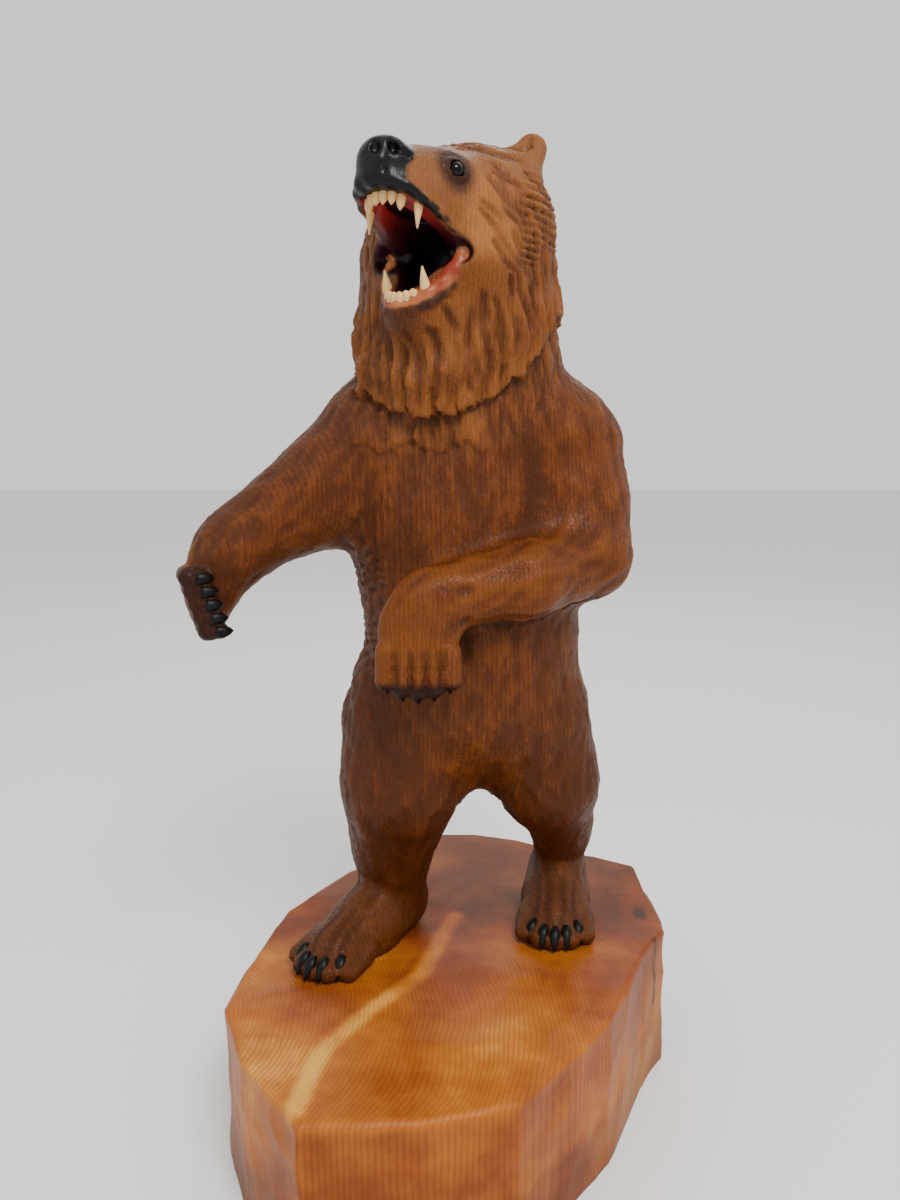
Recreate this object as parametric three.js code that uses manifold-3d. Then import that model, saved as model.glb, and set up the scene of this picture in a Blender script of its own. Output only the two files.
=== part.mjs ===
// A brown bear carved with chainsaw and gouge out of one upright log. It stands on its hind legs and roars,
// and the stump left under its feet is its plinth. Bear and plinth are one piece of wood; two glass eyes are set in.
// Millimetres, +Z up. The origin is the middle of the plinth's underside and the bear's chest faces -Y.
import * as THREE from "three";
import { mergeVertices } from "three/addons/utils/BufferGeometryUtils.js";
import { triTable } from "three/addons/objects/MarchingCubes.js";
import Module from "manifold-3d";

// Driving dimensions, in millimetres.
const FIGURE_HEIGHT = 600; // soles to the top of the head
const PLINTH_WIDTH = 334; // left to right
const PLINTH_DEPTH = 428; // front to back
const PLINTH_HEIGHT = 118; // underside to the ground under the feet
const EYE_DIAMETER = 11; // glass ball
const EYE_GAP = 0.4; // play between the glass and its drilled socket

// The figure keeps its proportions: every place and radius below is in thousandths of its height.
const SHARE = FIGURE_HEIGHT / 1000;
const CELL = 6; // grid step of the carved surface
const FIGURE_TRIANGLES = 6600;

const wasm = await Module();
wasm.setup();

const turned = THREE.MathUtils.degToRad;

// A turned and moved frame for a head, a paw or a foot: x forward, y to the bear's left, z up.
// Yaw 0 looks the way the chest does, and a positive yaw turns to the bear's left.
function stance(origin, yaw, pitch, roll = 0) {
  const turn = new THREE.Euler(turned(roll), turned(-pitch), turned(yaw - 90), "ZYX");
  const matrix = new THREE.Matrix4().makeRotationFromEuler(turn).setPosition(...origin);
  const axes = [0, 1, 2].map((i) => new THREE.Vector3().setFromMatrixColumn(matrix, i).toArray());
  return { axes, at: (x, y, z) => new THREE.Vector3(x, y, z).applyMatrix4(matrix).toArray() };
}

const WORLD = [[1, 0, 0], [0, 1, 0], [0, 0, 1]];

// An ellipsoid with its three radii along the given axes.
function lump(centre, radii, axes = WORLD) {
  const reach = [0, 1, 2].map((k) => Math.hypot(...axes.map((axis, i) => axis[k] * radii[i])));
  return {
    low: centre.map((c, k) => c - reach[k]),
    high: centre.map((c, k) => c + reach[k]),
    distance(x, y, z) {
      const [dx, dy, dz] = [x - centre[0], y - centre[1], z - centre[2]];
      let near = 0;
      let steep = 0;
      for (let i = 0; i < 3; i++) {
        const along = (dx * axes[i][0] + dy * axes[i][1] + dz * axes[i][2]) / radii[i];
        near += along * along;
        steep += (along / radii[i]) ** 2;
      }
      near = Math.sqrt(near);
      return (near * (near - 1)) / Math.max(Math.sqrt(steep), 1e-9);
    },
  };
}

// A rounded limb from a to b whose radius runs from ra to rb.
function limb(a, ra, b, rb) {
  const axis = b.map((v, k) => v - a[k]);
  const length = Math.hypot(...axis);
  const slope = (ra - rb) / length;
  const side = Math.sqrt(Math.max(1 - slope * slope, 1e-6));
  return {
    low: a.map((v, k) => Math.min(v - ra, b[k] - rb)),
    high: a.map((v, k) => Math.max(v + ra, b[k] + rb)),
    distance(x, y, z) {
      const [dx, dy, dz] = [x - a[0], y - a[1], z - a[2]];
      const along = (dx * axis[0] + dy * axis[1] + dz * axis[2]) / length;
      const across = Math.sqrt(Math.max(dx * dx + dy * dy + dz * dz - along * along, 0));
      const place = along - (across * slope) / side;
      if (place <= 0) return Math.hypot(across, along) - ra;
      if (place >= length) return Math.hypot(across, along - length) - rb;
      return across * side + along * slope - ra;
    },
  };
}

// Limbs end to end through points that each hold [place, radius].
function chain(...points) {
  return points.slice(1).map(([place, radius], i) => limb(points[i][0], points[i][1], place, radius));
}

// The smaller of two distances, rounded off where they are within blend of each other.
function melt(a, b, blend) {
  const share = Math.max(blend - Math.abs(a - b), 0) / blend;
  return Math.min(a, b) - (share * share * blend) / 4;
}

// The block that the figure is carved from: signed distances on a grid.
const BLOCK_LOW = [-366, -192, -30];
const BLOCK_HIGH = [276, 252, 1026];
const STEPS = BLOCK_LOW.map((low, k) => Math.ceil((BLOCK_HIGH[k] - low) / CELL) + 1);
const FAR_AWAY = 1000;

class Clay {
  constructor() {
    this.field = new Float32Array(STEPS[0] * STEPS[1] * STEPS[2]).fill(FAR_AWAY);
  }

  // Calls change(old distance, form's distance) at each grid point that the form can reach.
  reach(form, blend, change) {
    const margin = blend + 3 * CELL;
    const from = form.low.map((v, k) => Math.max(0, Math.floor((v - margin - BLOCK_LOW[k]) / CELL)));
    const to = form.high.map((v, k) => Math.min(STEPS[k] - 1, Math.ceil((v + margin - BLOCK_LOW[k]) / CELL)));
    for (let iz = from[2]; iz <= to[2]; iz++) {
      for (let iy = from[1]; iy <= to[1]; iy++) {
        for (let ix = from[0]; ix <= to[0]; ix++) {
          const spot = (iz * STEPS[1] + iy) * STEPS[0] + ix;
          const [x, y, z] = [ix, iy, iz].map((step, k) => BLOCK_LOW[k] + step * CELL);
          this.field[spot] = change(this.field[spot], form.distance(x, y, z));
        }
      }
    }
  }

  add(blend, ...forms) {
    for (const form of forms.flat()) this.reach(form, blend, (old, there) => melt(old, there, blend));
    return this;
  }

  cut(blend, ...forms) {
    for (const form of forms.flat()) this.reach(form, blend, (old, there) => -melt(-old, there, blend));
    return this;
  }
}

// Where a line from inside the wood, along direction, comes out of it.
function surfaceFrom(clay, start, direction) {
  const line = direction.map((v, k, all) => v / Math.hypot(...all));
  const place = [...start];
  for (let step = 0; step < 400; step++) {
    const [ix, iy, iz] = place.map((v, k) => Math.round((v - BLOCK_LOW[k]) / CELL));
    const depth = clay.field[(iz * STEPS[1] + iy) * STEPS[0] + ix];
    const offset = place.map((v, k) => v - (BLOCK_LOW[k] + CELL * [ix, iy, iz][k]));
    if (depth + offset[0] * line[0] + offset[1] * line[1] + offset[2] * line[2] >= 0) break;
    line.forEach((v, k) => { place[k] += v; });
  }
  return place;
}

const SIDES = [-1, 1]; // the bear's right, then its left
const TOES = [-2, -1, 0, 1, 2]; // in the same order

// Pelvis, belly, chest, the yoke of the shoulders, the hump behind it and a stub of a tail.
function carveTrunk(clay) {
  clay.add(1, lump([27, 52, 304], [139, 116, 104]));
  clay.add(70, lump([28, 44, 415], [135, 118, 120]));
  clay.add(70, lump([12, 50, 550], [144, 116, 140]));
  clay.add(60, lump([15, 62, 664], [152, 100, 90]));
  clay.add(60, lump([20, 118, 668], [92, 62, 100]));
  clay.add(30, lump([34, 164, 268], [18, 20, 24]));
}

// A thick neck that widens into the shoulders and is fuller on the side to which the head turns.
function carveNeck(clay) {
  clay.add(50, chain([[24, 66, 690], 106], [[12, 48, 780], 106], [[12, 42, 876], 106]));
  clay.add(30, lump([-50, 48, 850], [54, 60, 80]));
}

// The arm stretched out sideways, with its wrist bent down.
function carveRightArm(clay) {
  clay.add(40, chain(
    [[-96, 58, 636], 76],
    [[-160, 44, 580], 59],
    [[-220, 24, 545], 45],
    [[-268, 4, 512], 38],
    [[-285, -8, 474], 32],
  ));
}

// The arm folded across the belly.
function carveLeftArm(clay) {
  clay.add(40, chain([[144, 64, 634], 74], [[158, 42, 560], 58], [[171, 8, 506], 48]));
  clay.add(22, chain([[171, 4, 502], 48], [[90, -72, 488], 42], [[-20, -102, 472], 38]));
}

// Thigh, shank and heel of both legs.
function carveLegs(clay) {
  clay.add(45, chain([[-54, 40, 286], 88], [[-64, 14, 204], 67], [[-76, 30, 118], 44], [[-74, 44, 52], 42]));
  clay.add(40, chain([[107, 46, 270], 78], [[128, 34, 204], 58], [[151, 76, 132], 34], [[152, 112, 58], 38]));
}

const figure = new Clay();
carveTrunk(figure);
carveNeck(figure);
carveRightArm(figure);
carveLeftArm(figure);
carveLegs(figure);

const HEAD = stance([30, 24, 872], -38, 14);
const JAW = stance(HEAD.at(30, 0, -48), -38, -24);

// The rim of the upper lip from its middle to the corner of the mouth: forward, sideways, up, radius.
const LIP = [[176, 0, 3, 9], [171, 24, -1, 9], [153, 42, -9, 8], [126, 51, -22, 8], [94, 54, -34, 8]];

// Skull, brow, cheeks, muzzle, nose and lower jaw, with the mouth cut out between the jaws.
function carveHead(clay) {
  clay.add(40, lump(HEAD.at(0, 0, 28), [86, 80, 71], HEAD.axes));
  for (const side of SIDES) {
    clay.add(30, lump(HEAD.at(34, side * 42, -30), [66, 38, 62], HEAD.axes));
    clay.add(16, lump(HEAD.at(90, side * 26, 44), [30, 20, 15], HEAD.axes));
  }
  clay.add(30, limb(HEAD.at(60, 0, 8), 62, HEAD.at(118, 0, 8), 50));
  clay.add(20, lump(HEAD.at(128, 0, 0), [66, 47, 50], HEAD.axes));
  clay.add(24, chain([JAW.at(-20, 0, -24), 62], [JAW.at(50, 0, -26), 42], [JAW.at(80, 0, -12), 29]));
  for (const across of [-56, -34, -12, 12, 34, 56]) {
    clay.cut(8, limb(HEAD.at(90, across, -46), 8, HEAD.at(204, across, -72), 66));
  }
  clay.cut(8, lump(HEAD.at(104, 0, -40), [66, 30, 34], HEAD.axes));
  clay.cut(6, lump(HEAD.at(128, 0, 0), [44, 24, 14], HEAD.axes));
  clay.cut(6, lump(JAW.at(50, 0, 16), [46, 18, 20], JAW.axes));
  for (const side of SIDES) {
    clay.add(8, chain(...LIP.map(([along, across, up, radius]) => [HEAD.at(along, side * across, up), radius])));
  }
  clay.add(10, lump(HEAD.at(172, 0, 24), [27, 31, 27], HEAD.axes));
  for (const side of SIDES) {
    clay.add(16, limb(HEAD.at(-4, side * 43, 84), 25, HEAD.at(-16, side * 49, 114), 18));
    clay.cut(8, lump(HEAD.at(8, side * 51, 115), [15, 9, 17], HEAD.axes));
  }
}
carveHead(figure);

// Hands, with five toes each: the left hangs in front of the belly, the right curls with its toes one over another.
const LEFT_HAND = stance([-36, -102, 452], 0, -86);
const RIGHT_HAND = stance([-296, -2, 464], 4, 0);
const handReach = (toe) => 86 - 3 * toe * toe;
const curlPlace = (toe, forward, across) => RIGHT_HAND.at(forward, across + 5 * (toe + 2), -10 - 16 * toe);

function carveHands(clay) {
  clay.add(22, lump(LEFT_HAND.at(20, 0, 0), [54, 47, 28], LEFT_HAND.axes));
  clay.add(22, lump(RIGHT_HAND.at(-2, 0, -6), [36, 28, 50], RIGHT_HAND.axes));
  for (const toe of TOES) {
    clay.add(6, limb(LEFT_HAND.at(40, toe * 18, 12), 13, LEFT_HAND.at(handReach(toe), toe * 19, 6), 12));
    clay.add(5, chain([curlPlace(toe, 16, -24), 12], [curlPlace(toe, 42, -16), 12], [curlPlace(toe, 46, 0), 10]));
  }
}
carveHands(figure);

// Feet, flat on the ground, with five toes each.
const FEET = [
  { ...stance([-74, 52, 0], -33, 0), length: 172 },
  { ...stance([150, 122, 0], -6, 0), length: 144 },
];
const toeReach = (foot, toe) => foot.length - 5 * toe * toe;

function carveFeet(clay) {
  for (const foot of FEET) {
    const ball = foot.length - 44;
    clay.add(30, chain([foot.at(-8, 0, 22), 36], [foot.at(0.5 * ball, 0, 20), 40], [foot.at(ball, 0, 12), 36]));
    for (const toe of TOES) {
      clay.add(8, limb(foot.at(ball - 14, toe * 17, 16), 17, foot.at(toeReach(foot, toe), toe * 20, 8), 13));
    }
  }
}
carveFeet(figure);

// The ruff: locks of fur that hang round the neck and end in a ragged step over the chest.
// They start lower under the jaw, which points along JAW_TURN as seen from above.
const JAW_TURN = Math.atan2(JAW.axes[0][1], JAW.axes[0][0]);

function carveRuff(clay) {
  const locks = 26;
  for (let lock = 0; lock < locks; lock++) {
    const angle = (lock / locks) * 2 * Math.PI;
    const front = (1 - Math.sin(angle)) / 2;
    const underJaw = ((1 + Math.cos(angle - JAW_TURN)) / 2) ** 3;
    const top = 880 - 125 * underJaw;
    const drop = 775 - 130 * front + 10 * Math.sin(lock * 2.4);
    const swell = 105 + 4 * Math.cos(lock * 1.7);
    const round = (radius, shift, height) => [
      6 + radius * Math.cos(angle),
      shift + radius * Math.sin(angle),
      height,
    ];
    clay.add(6, chain(
      [round(95, 42, top), 15],
      [round(swell, 46, (drop + top) / 2 + 10), 17],
      [round(swell, 58, drop), 9],
    ));
  }
}
carveRuff(figure);

// The carved surface: one vertex on each grid edge that crosses it, by marching cubes.
const CORNERS = [[0, 0, 0], [1, 0, 0], [1, 1, 0], [0, 1, 0], [0, 0, 1], [1, 0, 1], [1, 1, 1], [0, 1, 1]];
const EDGES = [[0, 1], [1, 2], [2, 3], [3, 0], [4, 5], [5, 6], [6, 7], [7, 4], [0, 4], [1, 5], [2, 6], [3, 7]];
const TABLE_ROW = 16;

function skin(clay) {
  const { field } = clay;
  const places = [];
  const triangles = [];
  const known = new Map();
  const spotOf = (ix, iy, iz) => (iz * STEPS[1] + iy) * STEPS[0] + ix;
  const vertexOn = (cell, edge) => {
    const [a, b] = EDGES[edge].map((corner) => cell.map((step, k) => step + CORNERS[corner][k]));
    const [near, far] = [spotOf(...a), spotOf(...b)];
    const key = Math.min(near, far) * 3 + a.findIndex((step, k) => step !== b[k]);
    if (!known.has(key)) {
      const share = Math.min(Math.max(field[near] / (field[near] - field[far]), 0.12), 0.88);
      known.set(key, places.length);
      places.push(a.map((step, k) => BLOCK_LOW[k] + CELL * (step + share * (b[k] - step))));
    }
    return known.get(key);
  };
  for (let iz = 0; iz < STEPS[2] - 1; iz++) {
    for (let iy = 0; iy < STEPS[1] - 1; iy++) {
      for (let ix = 0; ix < STEPS[0] - 1; ix++) {
        let inside = 0;
        CORNERS.forEach(([cx, cy, cz], bit) => {
          if (field[spotOf(ix + cx, iy + cy, iz + cz)] < 0) inside |= 1 << bit;
        });
        if (inside === 0 || inside === 255) continue;
        for (let i = inside * TABLE_ROW; triTable[i] >= 0; i += 3) {
          triangles.push([2, 1, 0].map((k) => vertexOn([ix, iy, iz], triTable[i + k])));
        }
      }
    }
  }
  return { places, triangles };
}

// A heap of edges, the cheapest to collapse on top.
class Queue {
  items = [];

  push(item) {
    const { items } = this;
    let at = items.push(item) - 1;
    while (at > 0) {
      const above = (at - 1) >> 1;
      if (items[above].cost <= item.cost) break;
      items[at] = items[above];
      at = above;
    }
    items[at] = item;
  }

  pop() {
    const { items } = this;
    const top = items[0];
    const last = items.pop();
    if (items.length === 0) return top;
    let at = 0;
    for (;;) {
      let below = 2 * at + 1;
      if (below >= items.length) break;
      if (below + 1 < items.length && items[below + 1].cost < items[below].cost) below += 1;
      if (items[below].cost >= last.cost) break;
      items[at] = items[below];
      at = below;
    }
    items[at] = last;
    return top;
  }
}

const minus = (a, b) => a.map((v, k) => v - b[k]);
const cross = (a, b) => [a[1] * b[2] - a[2] * b[1], a[2] * b[0] - a[0] * b[2], a[0] * b[1] - a[1] * b[0]];
const longestSide = (corners) => Math.max(...corners.map((a, k) => Math.hypot(...minus(a, corners[(k + 1) % 3]))));
const dot = (a, b) => a[0] * b[0] + a[1] * b[1] + a[2] * b[2];

const EVENNESS = 2e-6; // how much a short edge is preferred to a long one
const MOST_TRIES = 8; // how often an edge that can't collapse yet is offered again

// Collapses edges, those that change the shape least first, until this many triangles are left.
// Where care(place) is high the surface keeps more of its triangles.
function thin({ places, triangles }, target, care) {
  const around = places.map(() => new Set());
  const errors = places.map(() => new Float64Array(10));
  triangles.forEach((triangle, index) => {
    const [a, b, c] = triangle.map((corner) => places[corner]);
    const normal = cross(minus(b, a), minus(c, a));
    const size = Math.hypot(...normal);
    const plane = [...normal.map((v) => v / size), -dot(normal, a) / size];
    const weight = size * care(a);
    for (const corner of triangle) {
      around[corner].add(index);
      let slot = 0;
      for (let i = 0; i < 4; i++) {
        for (let j = i; j < 4; j++) errors[corner][slot++] += weight * plane[i] * plane[j];
      }
    }
  });

  // The error of a joined vertex at a place, and the place where it is least.
  const errorAt = (q, [x, y, z]) => q[0] * x * x + 2 * q[1] * x * y + 2 * q[2] * x * z + 2 * q[3] * x
    + q[4] * y * y + 2 * q[5] * y * z + 2 * q[6] * y + q[7] * z * z + 2 * q[8] * z + q[9];
  const bestPlace = (q, a, b) => {
    const middle = a.map((v, k) => (v + b[k]) / 2);
    const hold = 0.02 * (q[0] + q[4] + q[7]);
    const rows = [[q[0] + hold, q[1], q[2]], [q[1], q[4] + hold, q[5]], [q[2], q[5], q[7] + hold]];
    const right = middle.map((v, k) => hold * v - q[[3, 6, 8][k]]);
    const whole = dot(rows[0], cross(rows[1], rows[2]));
    const share = (k) => {
      const [r0, r1, r2] = rows.map((row, i) => (i === k ? right : row));
      return dot(r0, cross(r1, r2)) / whole;
    };
    return [0, 1, 2].map(share);
  };

  const version = new Uint32Array(places.length);
  const queue = new Queue();
  const offer = (a, b) => {
    const q = errors[a].map((v, i) => v + errors[b][i]);
    const place = bestPlace(q, places[a], places[b]);
    const length = Math.hypot(...minus(places[a], places[b]));
    const cost = errorAt(q, place) + EVENNESS * length ** 4;
    queue.push({ cost, a, b, place, stamp: version[a] + version[b], tries: 0 });
  };
  const neighbours = (v) => new Set([...around[v]].flatMap((t) => triangles[t]).filter((corner) => corner !== v));
  const turnsOver = (moved, other, place) => [...around[moved]].some((t) => {
    if (triangles[t].includes(other)) return false;
    const old = triangles[t].map((corner) => places[corner]);
    const fresh = triangles[t].map((corner) => (corner === moved ? place : places[corner]));
    const before = cross(minus(old[1], old[0]), minus(old[2], old[0]));
    const after = cross(minus(fresh[1], fresh[0]), minus(fresh[2], fresh[0]));
    const fullness = Math.hypot(...after) / longestSide(fresh) ** 2;
    return dot(before, after) < 0.3 * Math.hypot(...before) * Math.hypot(...after)
      || fullness < Math.min(0.2, (0.9 * Math.hypot(...before)) / longestSide(old) ** 2);
  });

  let left = triangles.length;
  let before = left + 1;
  while (left > target && left < before) {
    before = left;
    for (const [a, b, c] of triangles.filter(Boolean)) {
      [[a, b], [b, c], [c, a]].forEach(([i, j]) => i < j && offer(i, j));
    }
    while (left > target && queue.items.length > 0) {
      const item = queue.pop();
      const { a, b, place, stamp } = item;
      if (!around[a] || !around[b] || stamp !== version[a] + version[b]) continue;
      const beside = neighbours(b);
      const shared = [...neighbours(a)].filter((v) => beside.has(v));
      if (shared.length !== 2 || turnsOver(a, b, place) || turnsOver(b, a, place)) {
        if (item.tries < MOST_TRIES) queue.push({ ...item, cost: 2 * item.cost + 1, tries: item.tries + 1 });
        continue;
      }
      for (const t of around[b]) {
        if (triangles[t].includes(a)) {
          for (const corner of triangles[t]) if (corner !== b) around[corner].delete(t);
          triangles[t] = null;
          left -= 1;
        } else {
          triangles[t] = triangles[t].map((corner) => (corner === b ? a : corner));
          around[a].add(t);
        }
      }
      errors[a] = errors[a].map((v, i) => v + errors[b][i]);
      around[b] = null;
      places[a] = place;
      version[a] += 1;
      for (const v of neighbours(a)) offer(Math.min(a, v), Math.max(a, v));
    }
  }
  const kept = triangles.filter(Boolean);
  const names = new Map([...new Set(kept.flat())].map((old, fresh) => [old, fresh]));
  const leftPlaces = [...names.keys()].map((old) => places[old]);
  return { places: leftPlaces, triangles: kept.map((corners) => corners.map((v) => names.get(v))) };
}

// The head, hands and feet keep finer triangles than the trunk.
function careAt([x, y, z]) {
  if (z > 760) return 3;
  if (z < 60 || x < -250) return 3;
  return y < -70 && z > 340 && z < 520 ? 2.5 : 1;
}

const carved = thin(skin(figure), FIGURE_TRIANGLES, careAt);

// Solids are made in millimetres from places and triangles.
const flatten = (rows, Kind) => Kind.from(rows.flat());
const threes = (flat) => Array.from({ length: flat.length / 3 }, (_, i) => [...flat.slice(3 * i, 3 * i + 3)]);

function solid({ places, triangles }) {
  const mesh = new wasm.Mesh({
    numProp: 3,
    vertProperties: flatten(places, Float32Array),
    triVerts: flatten(triangles, Uint32Array),
  });
  return new wasm.Manifold(mesh);
}

// A place of the figure, in thousandths of its height, on the plinth.
const STAND_X = -8; // the figure's middle line lies this far to its right of the plinth's middle
const onPlinth = ([x, y, z]) => [STAND_X + SHARE * x, SHARE * y, PLINTH_HEIGHT + SHARE * z];

// A tooth or claw: rings that shrink along a bent line to a point, from its root to its tip.
const HORN_SIDES = 6;
const HORN_RINGS = [[0, 1], [0.5, 0.8]]; // share of the length, share of the thickness

function horn(root, tip, bend, thickness, flatness = 1) {
  const line = minus(tip, root);
  const across = cross(line, bend).map((v, k, all) => v / Math.hypot(...all));
  const upright = cross(across, line).map((v, k, all) => v / Math.hypot(...all));
  const places = [];
  for (const [share, girth] of HORN_RINGS) {
    for (let side = 0; side < HORN_SIDES; side++) {
      const angle = (side / HORN_SIDES) * 2 * Math.PI;
      const [u, v] = [thickness * girth * Math.cos(angle), thickness * flatness * girth * Math.sin(angle)];
      const sag = 4 * share * (1 - share);
      places.push(root.map((r, k) => r + share * line[k] + sag * bend[k] + u * across[k] + v * upright[k]));
    }
  }
  places.push(tip);
  const triangles = [];
  for (let side = 0; side < HORN_SIDES; side++) {
    const next = (side + 1) % HORN_SIDES;
    triangles.push([side, side + HORN_SIDES, next], [next, side + HORN_SIDES, next + HORN_SIDES]);
    triangles.push([side + HORN_SIDES, places.length - 1, next + HORN_SIDES]);
    if (side > 0 && side < HORN_SIDES - 1) triangles.push([0, side, next]);
  }
  return outward({ places: places.map(onPlinth), triangles });
}

// Turns a closed surface right way out.
function outward({ places, triangles }) {
  const volume = triangles.reduce((sum, [a, b, c]) => sum + dot(places[a], cross(places[b], places[c])), 0);
  return { places, triangles: volume > 0 ? triangles : triangles.map(([a, b, c]) => [c, b, a]) };
}

// Teeth stand on an arch in each jaw: six incisors, two long canines and cheek teeth behind them.
const ARCHES = [
  { jaw: HEAD, reach: 171, width: 33, gum: 0, up: -1, incisor: 22, canine: 39 },
  { jaw: JAW, reach: 103, width: 25, gum: 8, up: 1, incisor: 9, canine: 27 },
];
const ROOT = 8; // how deep a tooth stands in its gum

function teeth() {
  const made = [];
  for (const { jaw, reach, width, gum, up, incisor, canine } of ARCHES) {
    const lean = jaw.axes[0].map((v) => 3 * v);
    const tooth = (along, across, length, thickness) => {
      const [root, tip] = [-ROOT, length].map((height) => jaw.at(along, across, gum + up * height));
      made.push(horn(root, tip, lean, thickness));
    };
    for (const step of [-2.5, -1.5, -0.5, 0.5, 1.5, 2.5]) {
      const turn = 0.34 * step;
      tooth(reach - width * (1 - Math.cos(turn)), width * Math.sin(turn), incisor, 5);
    }
    for (const side of SIDES) {
      tooth(reach - 0.75 * width, side * width, canine, 7);
      for (const back of [24, 38, 52]) tooth(reach - 20 - back, side * (width + 1), incisor - 2, 6);
    }
  }
  return made;
}

// Five claws on each hand and foot.
function claws() {
  const made = [];
  for (const toe of TOES) {
    for (const foot of FEET) {
      const reach = toeReach(foot, toe) + 2;
      made.push(horn(foot.at(reach, toe * 20, 12), foot.at(reach + 28, toe * 22, 1), [0, 0, 5], 7.5));
    }
    const reach = handReach(toe);
    made.push(horn(LEFT_HAND.at(reach, toe * 19, 2), LEFT_HAND.at(reach + 26, toe * 19, -6), [0, -4, 0], 6.5));
    made.push(horn(curlPlace(toe, 44, 0), curlPlace(toe, 38, 26), [0, -5, 0], 7));
  }
  return made;
}

// The stump under the figure: its corners as shares of half its width and half its depth.
const PLINTH_CORNERS = [
  [-0.59, -1], [-0.87, -0.69], [-1, -0.41], [-0.95, -0.02], [-0.87, 0.27], [-0.6, 0.62], [-0.12, 1], [0.1, 1],
  [0.48, 0.9], [0.97, 0.66], [1, 0.1], [0.85, -0.09], [0.63, -0.48], [0.21, -0.89], [-0.16, -0.99],
];
const RIM_DROP = 3; // the top falls this much to its rim
const RIM_BEVEL = 4; // worn edge of the rim

function plinth() {
  const places = [];
  const ring = (scale, height) => {
    for (const [x, y] of PLINTH_CORNERS) {
      places.push([(scale * x * PLINTH_WIDTH) / 2, (scale * y * PLINTH_DEPTH) / 2, height]);
    }
  };
  const bevel = 1 - (2 * RIM_BEVEL) / PLINTH_WIDTH;
  ring(1, 0);
  ring(1, PLINTH_HEIGHT - RIM_DROP - RIM_BEVEL);
  ring(bevel, PLINTH_HEIGHT - RIM_DROP);
  ring(0.7, PLINTH_HEIGHT);
  const count = PLINTH_CORNERS.length;
  const triangles = [];
  for (let row = 0; row < 3; row++) {
    for (let corner = 0; corner < count; corner++) {
      const next = (corner + 1) % count;
      const [low, high] = [row * count, (row + 1) * count];
      triangles.push([low + corner, low + next, high + next], [low + corner, high + next, high + corner]);
    }
  }
  const [under, over] = [places.push([0, 0, 0]) - 1, places.push([0, 0, PLINTH_HEIGHT]) - 1];
  for (let corner = 0; corner < count; corner++) {
    const next = (corner + 1) % count;
    triangles.push([under, next, corner], [over, 3 * count + corner, 3 * count + next]);
  }
  return outward({ places, triangles });
}

// A ball of this many millimetres across, as places and triangles.
function ball(centre, diameter) {
  const geometry = new THREE.SphereGeometry(diameter / 2, 12, 8).translate(...centre);
  geometry.deleteAttribute("normal");
  geometry.deleteAttribute("uv");
  const merged = mergeVertices(geometry, 1e-3);
  const places = threes(merged.attributes.position.array);
  const triangles = threes(merged.index.array);
  return outward({ places, triangles: triangles.filter(([a, b, c]) => a !== b && b !== c && c !== a) });
}

// Each eye sits where a line out of the brow leaves the wood, sunk by a share of its own size.
const EYE_SINK = 0.12;
const EYES = SIDES.map((side) => {
  const line = HEAD.axes[0].map((v, k) => 0.35 * v + side * HEAD.axes[1][k] + 0.2 * HEAD.axes[2][k]);
  const place = surfaceFrom(figure, HEAD.at(101, side * 12, 26), line);
  const inward = (EYE_SINK * EYE_DIAMETER) / SHARE / Math.hypot(...line);
  return onPlinth(place.map((v, k) => v - inward * line[k]));
});

function bear() {
  let whole = solid(plinth()).add(solid(outward({ ...carved, places: carved.places.map(onPlinth) })));
  for (const piece of [...teeth(), ...claws()]) whole = whole.add(solid(piece));
  for (const eye of EYES) whole = whole.subtract(solid(ball(eye, EYE_DIAMETER + 2 * EYE_GAP)));
  return whole;
}

// Pockets of air shut in under a sole or behind a tooth are wood: only the outer skin is kept.
function withoutPockets(mesh) {
  const places = threes(mesh.vertProperties);
  const triangles = threes(mesh.triVerts);
  const lead = places.map((_, i) => i);
  const find = (i) => {
    while (lead[i] !== i) i = lead[i] = lead[lead[i]];
    return i;
  };
  for (const [a, b, c] of triangles) {
    lead[find(a)] = find(b);
    lead[find(b)] = find(c);
  }
  const volumes = new Map();
  for (const [a, b, c] of triangles) {
    const shell = find(a);
    volumes.set(shell, (volumes.get(shell) ?? 0) + dot(places[a], cross(places[b], places[c])));
  }
  return { places, triangles: triangles.filter(([a]) => volumes.get(find(a)) > 0) };
}

// A mesh with its name and its look.
function piece(name, { places, triangles }, look) {
  const geometry = new THREE.BufferGeometry();
  geometry.setAttribute("position", new THREE.BufferAttribute(flatten(places, Float32Array), 3));
  geometry.setIndex(new THREE.BufferAttribute(flatten(triangles, Uint32Array), 1));
  geometry.computeVertexNormals();
  const mesh = new THREE.Mesh(geometry, new THREE.MeshStandardMaterial(look));
  mesh.name = name;
  return mesh;
}

const STAINED_WOOD = { color: 0x8a5a34, roughness: 0.75, metalness: 0 };
const BLACK_GLASS = { color: 0x0c0a09, roughness: 0.08, metalness: 0 };

const model = new THREE.Group();
model.add(piece("carved_bear", withoutPockets(bear().getMesh()), STAINED_WOOD));
["right_eye", "left_eye"].forEach((name, i) => model.add(piece(name, ball(EYES[i], EYE_DIAMETER), BLACK_GLASS)));

export default model;
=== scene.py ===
"""Looks of a standing, roaring bear carved with chainsaw and gouge from the log that is also its plinth."""
import sys
import logging
import math
from dataclasses import dataclass, field
from enum import Enum
from typing import Iterable, Optional, Sequence

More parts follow.
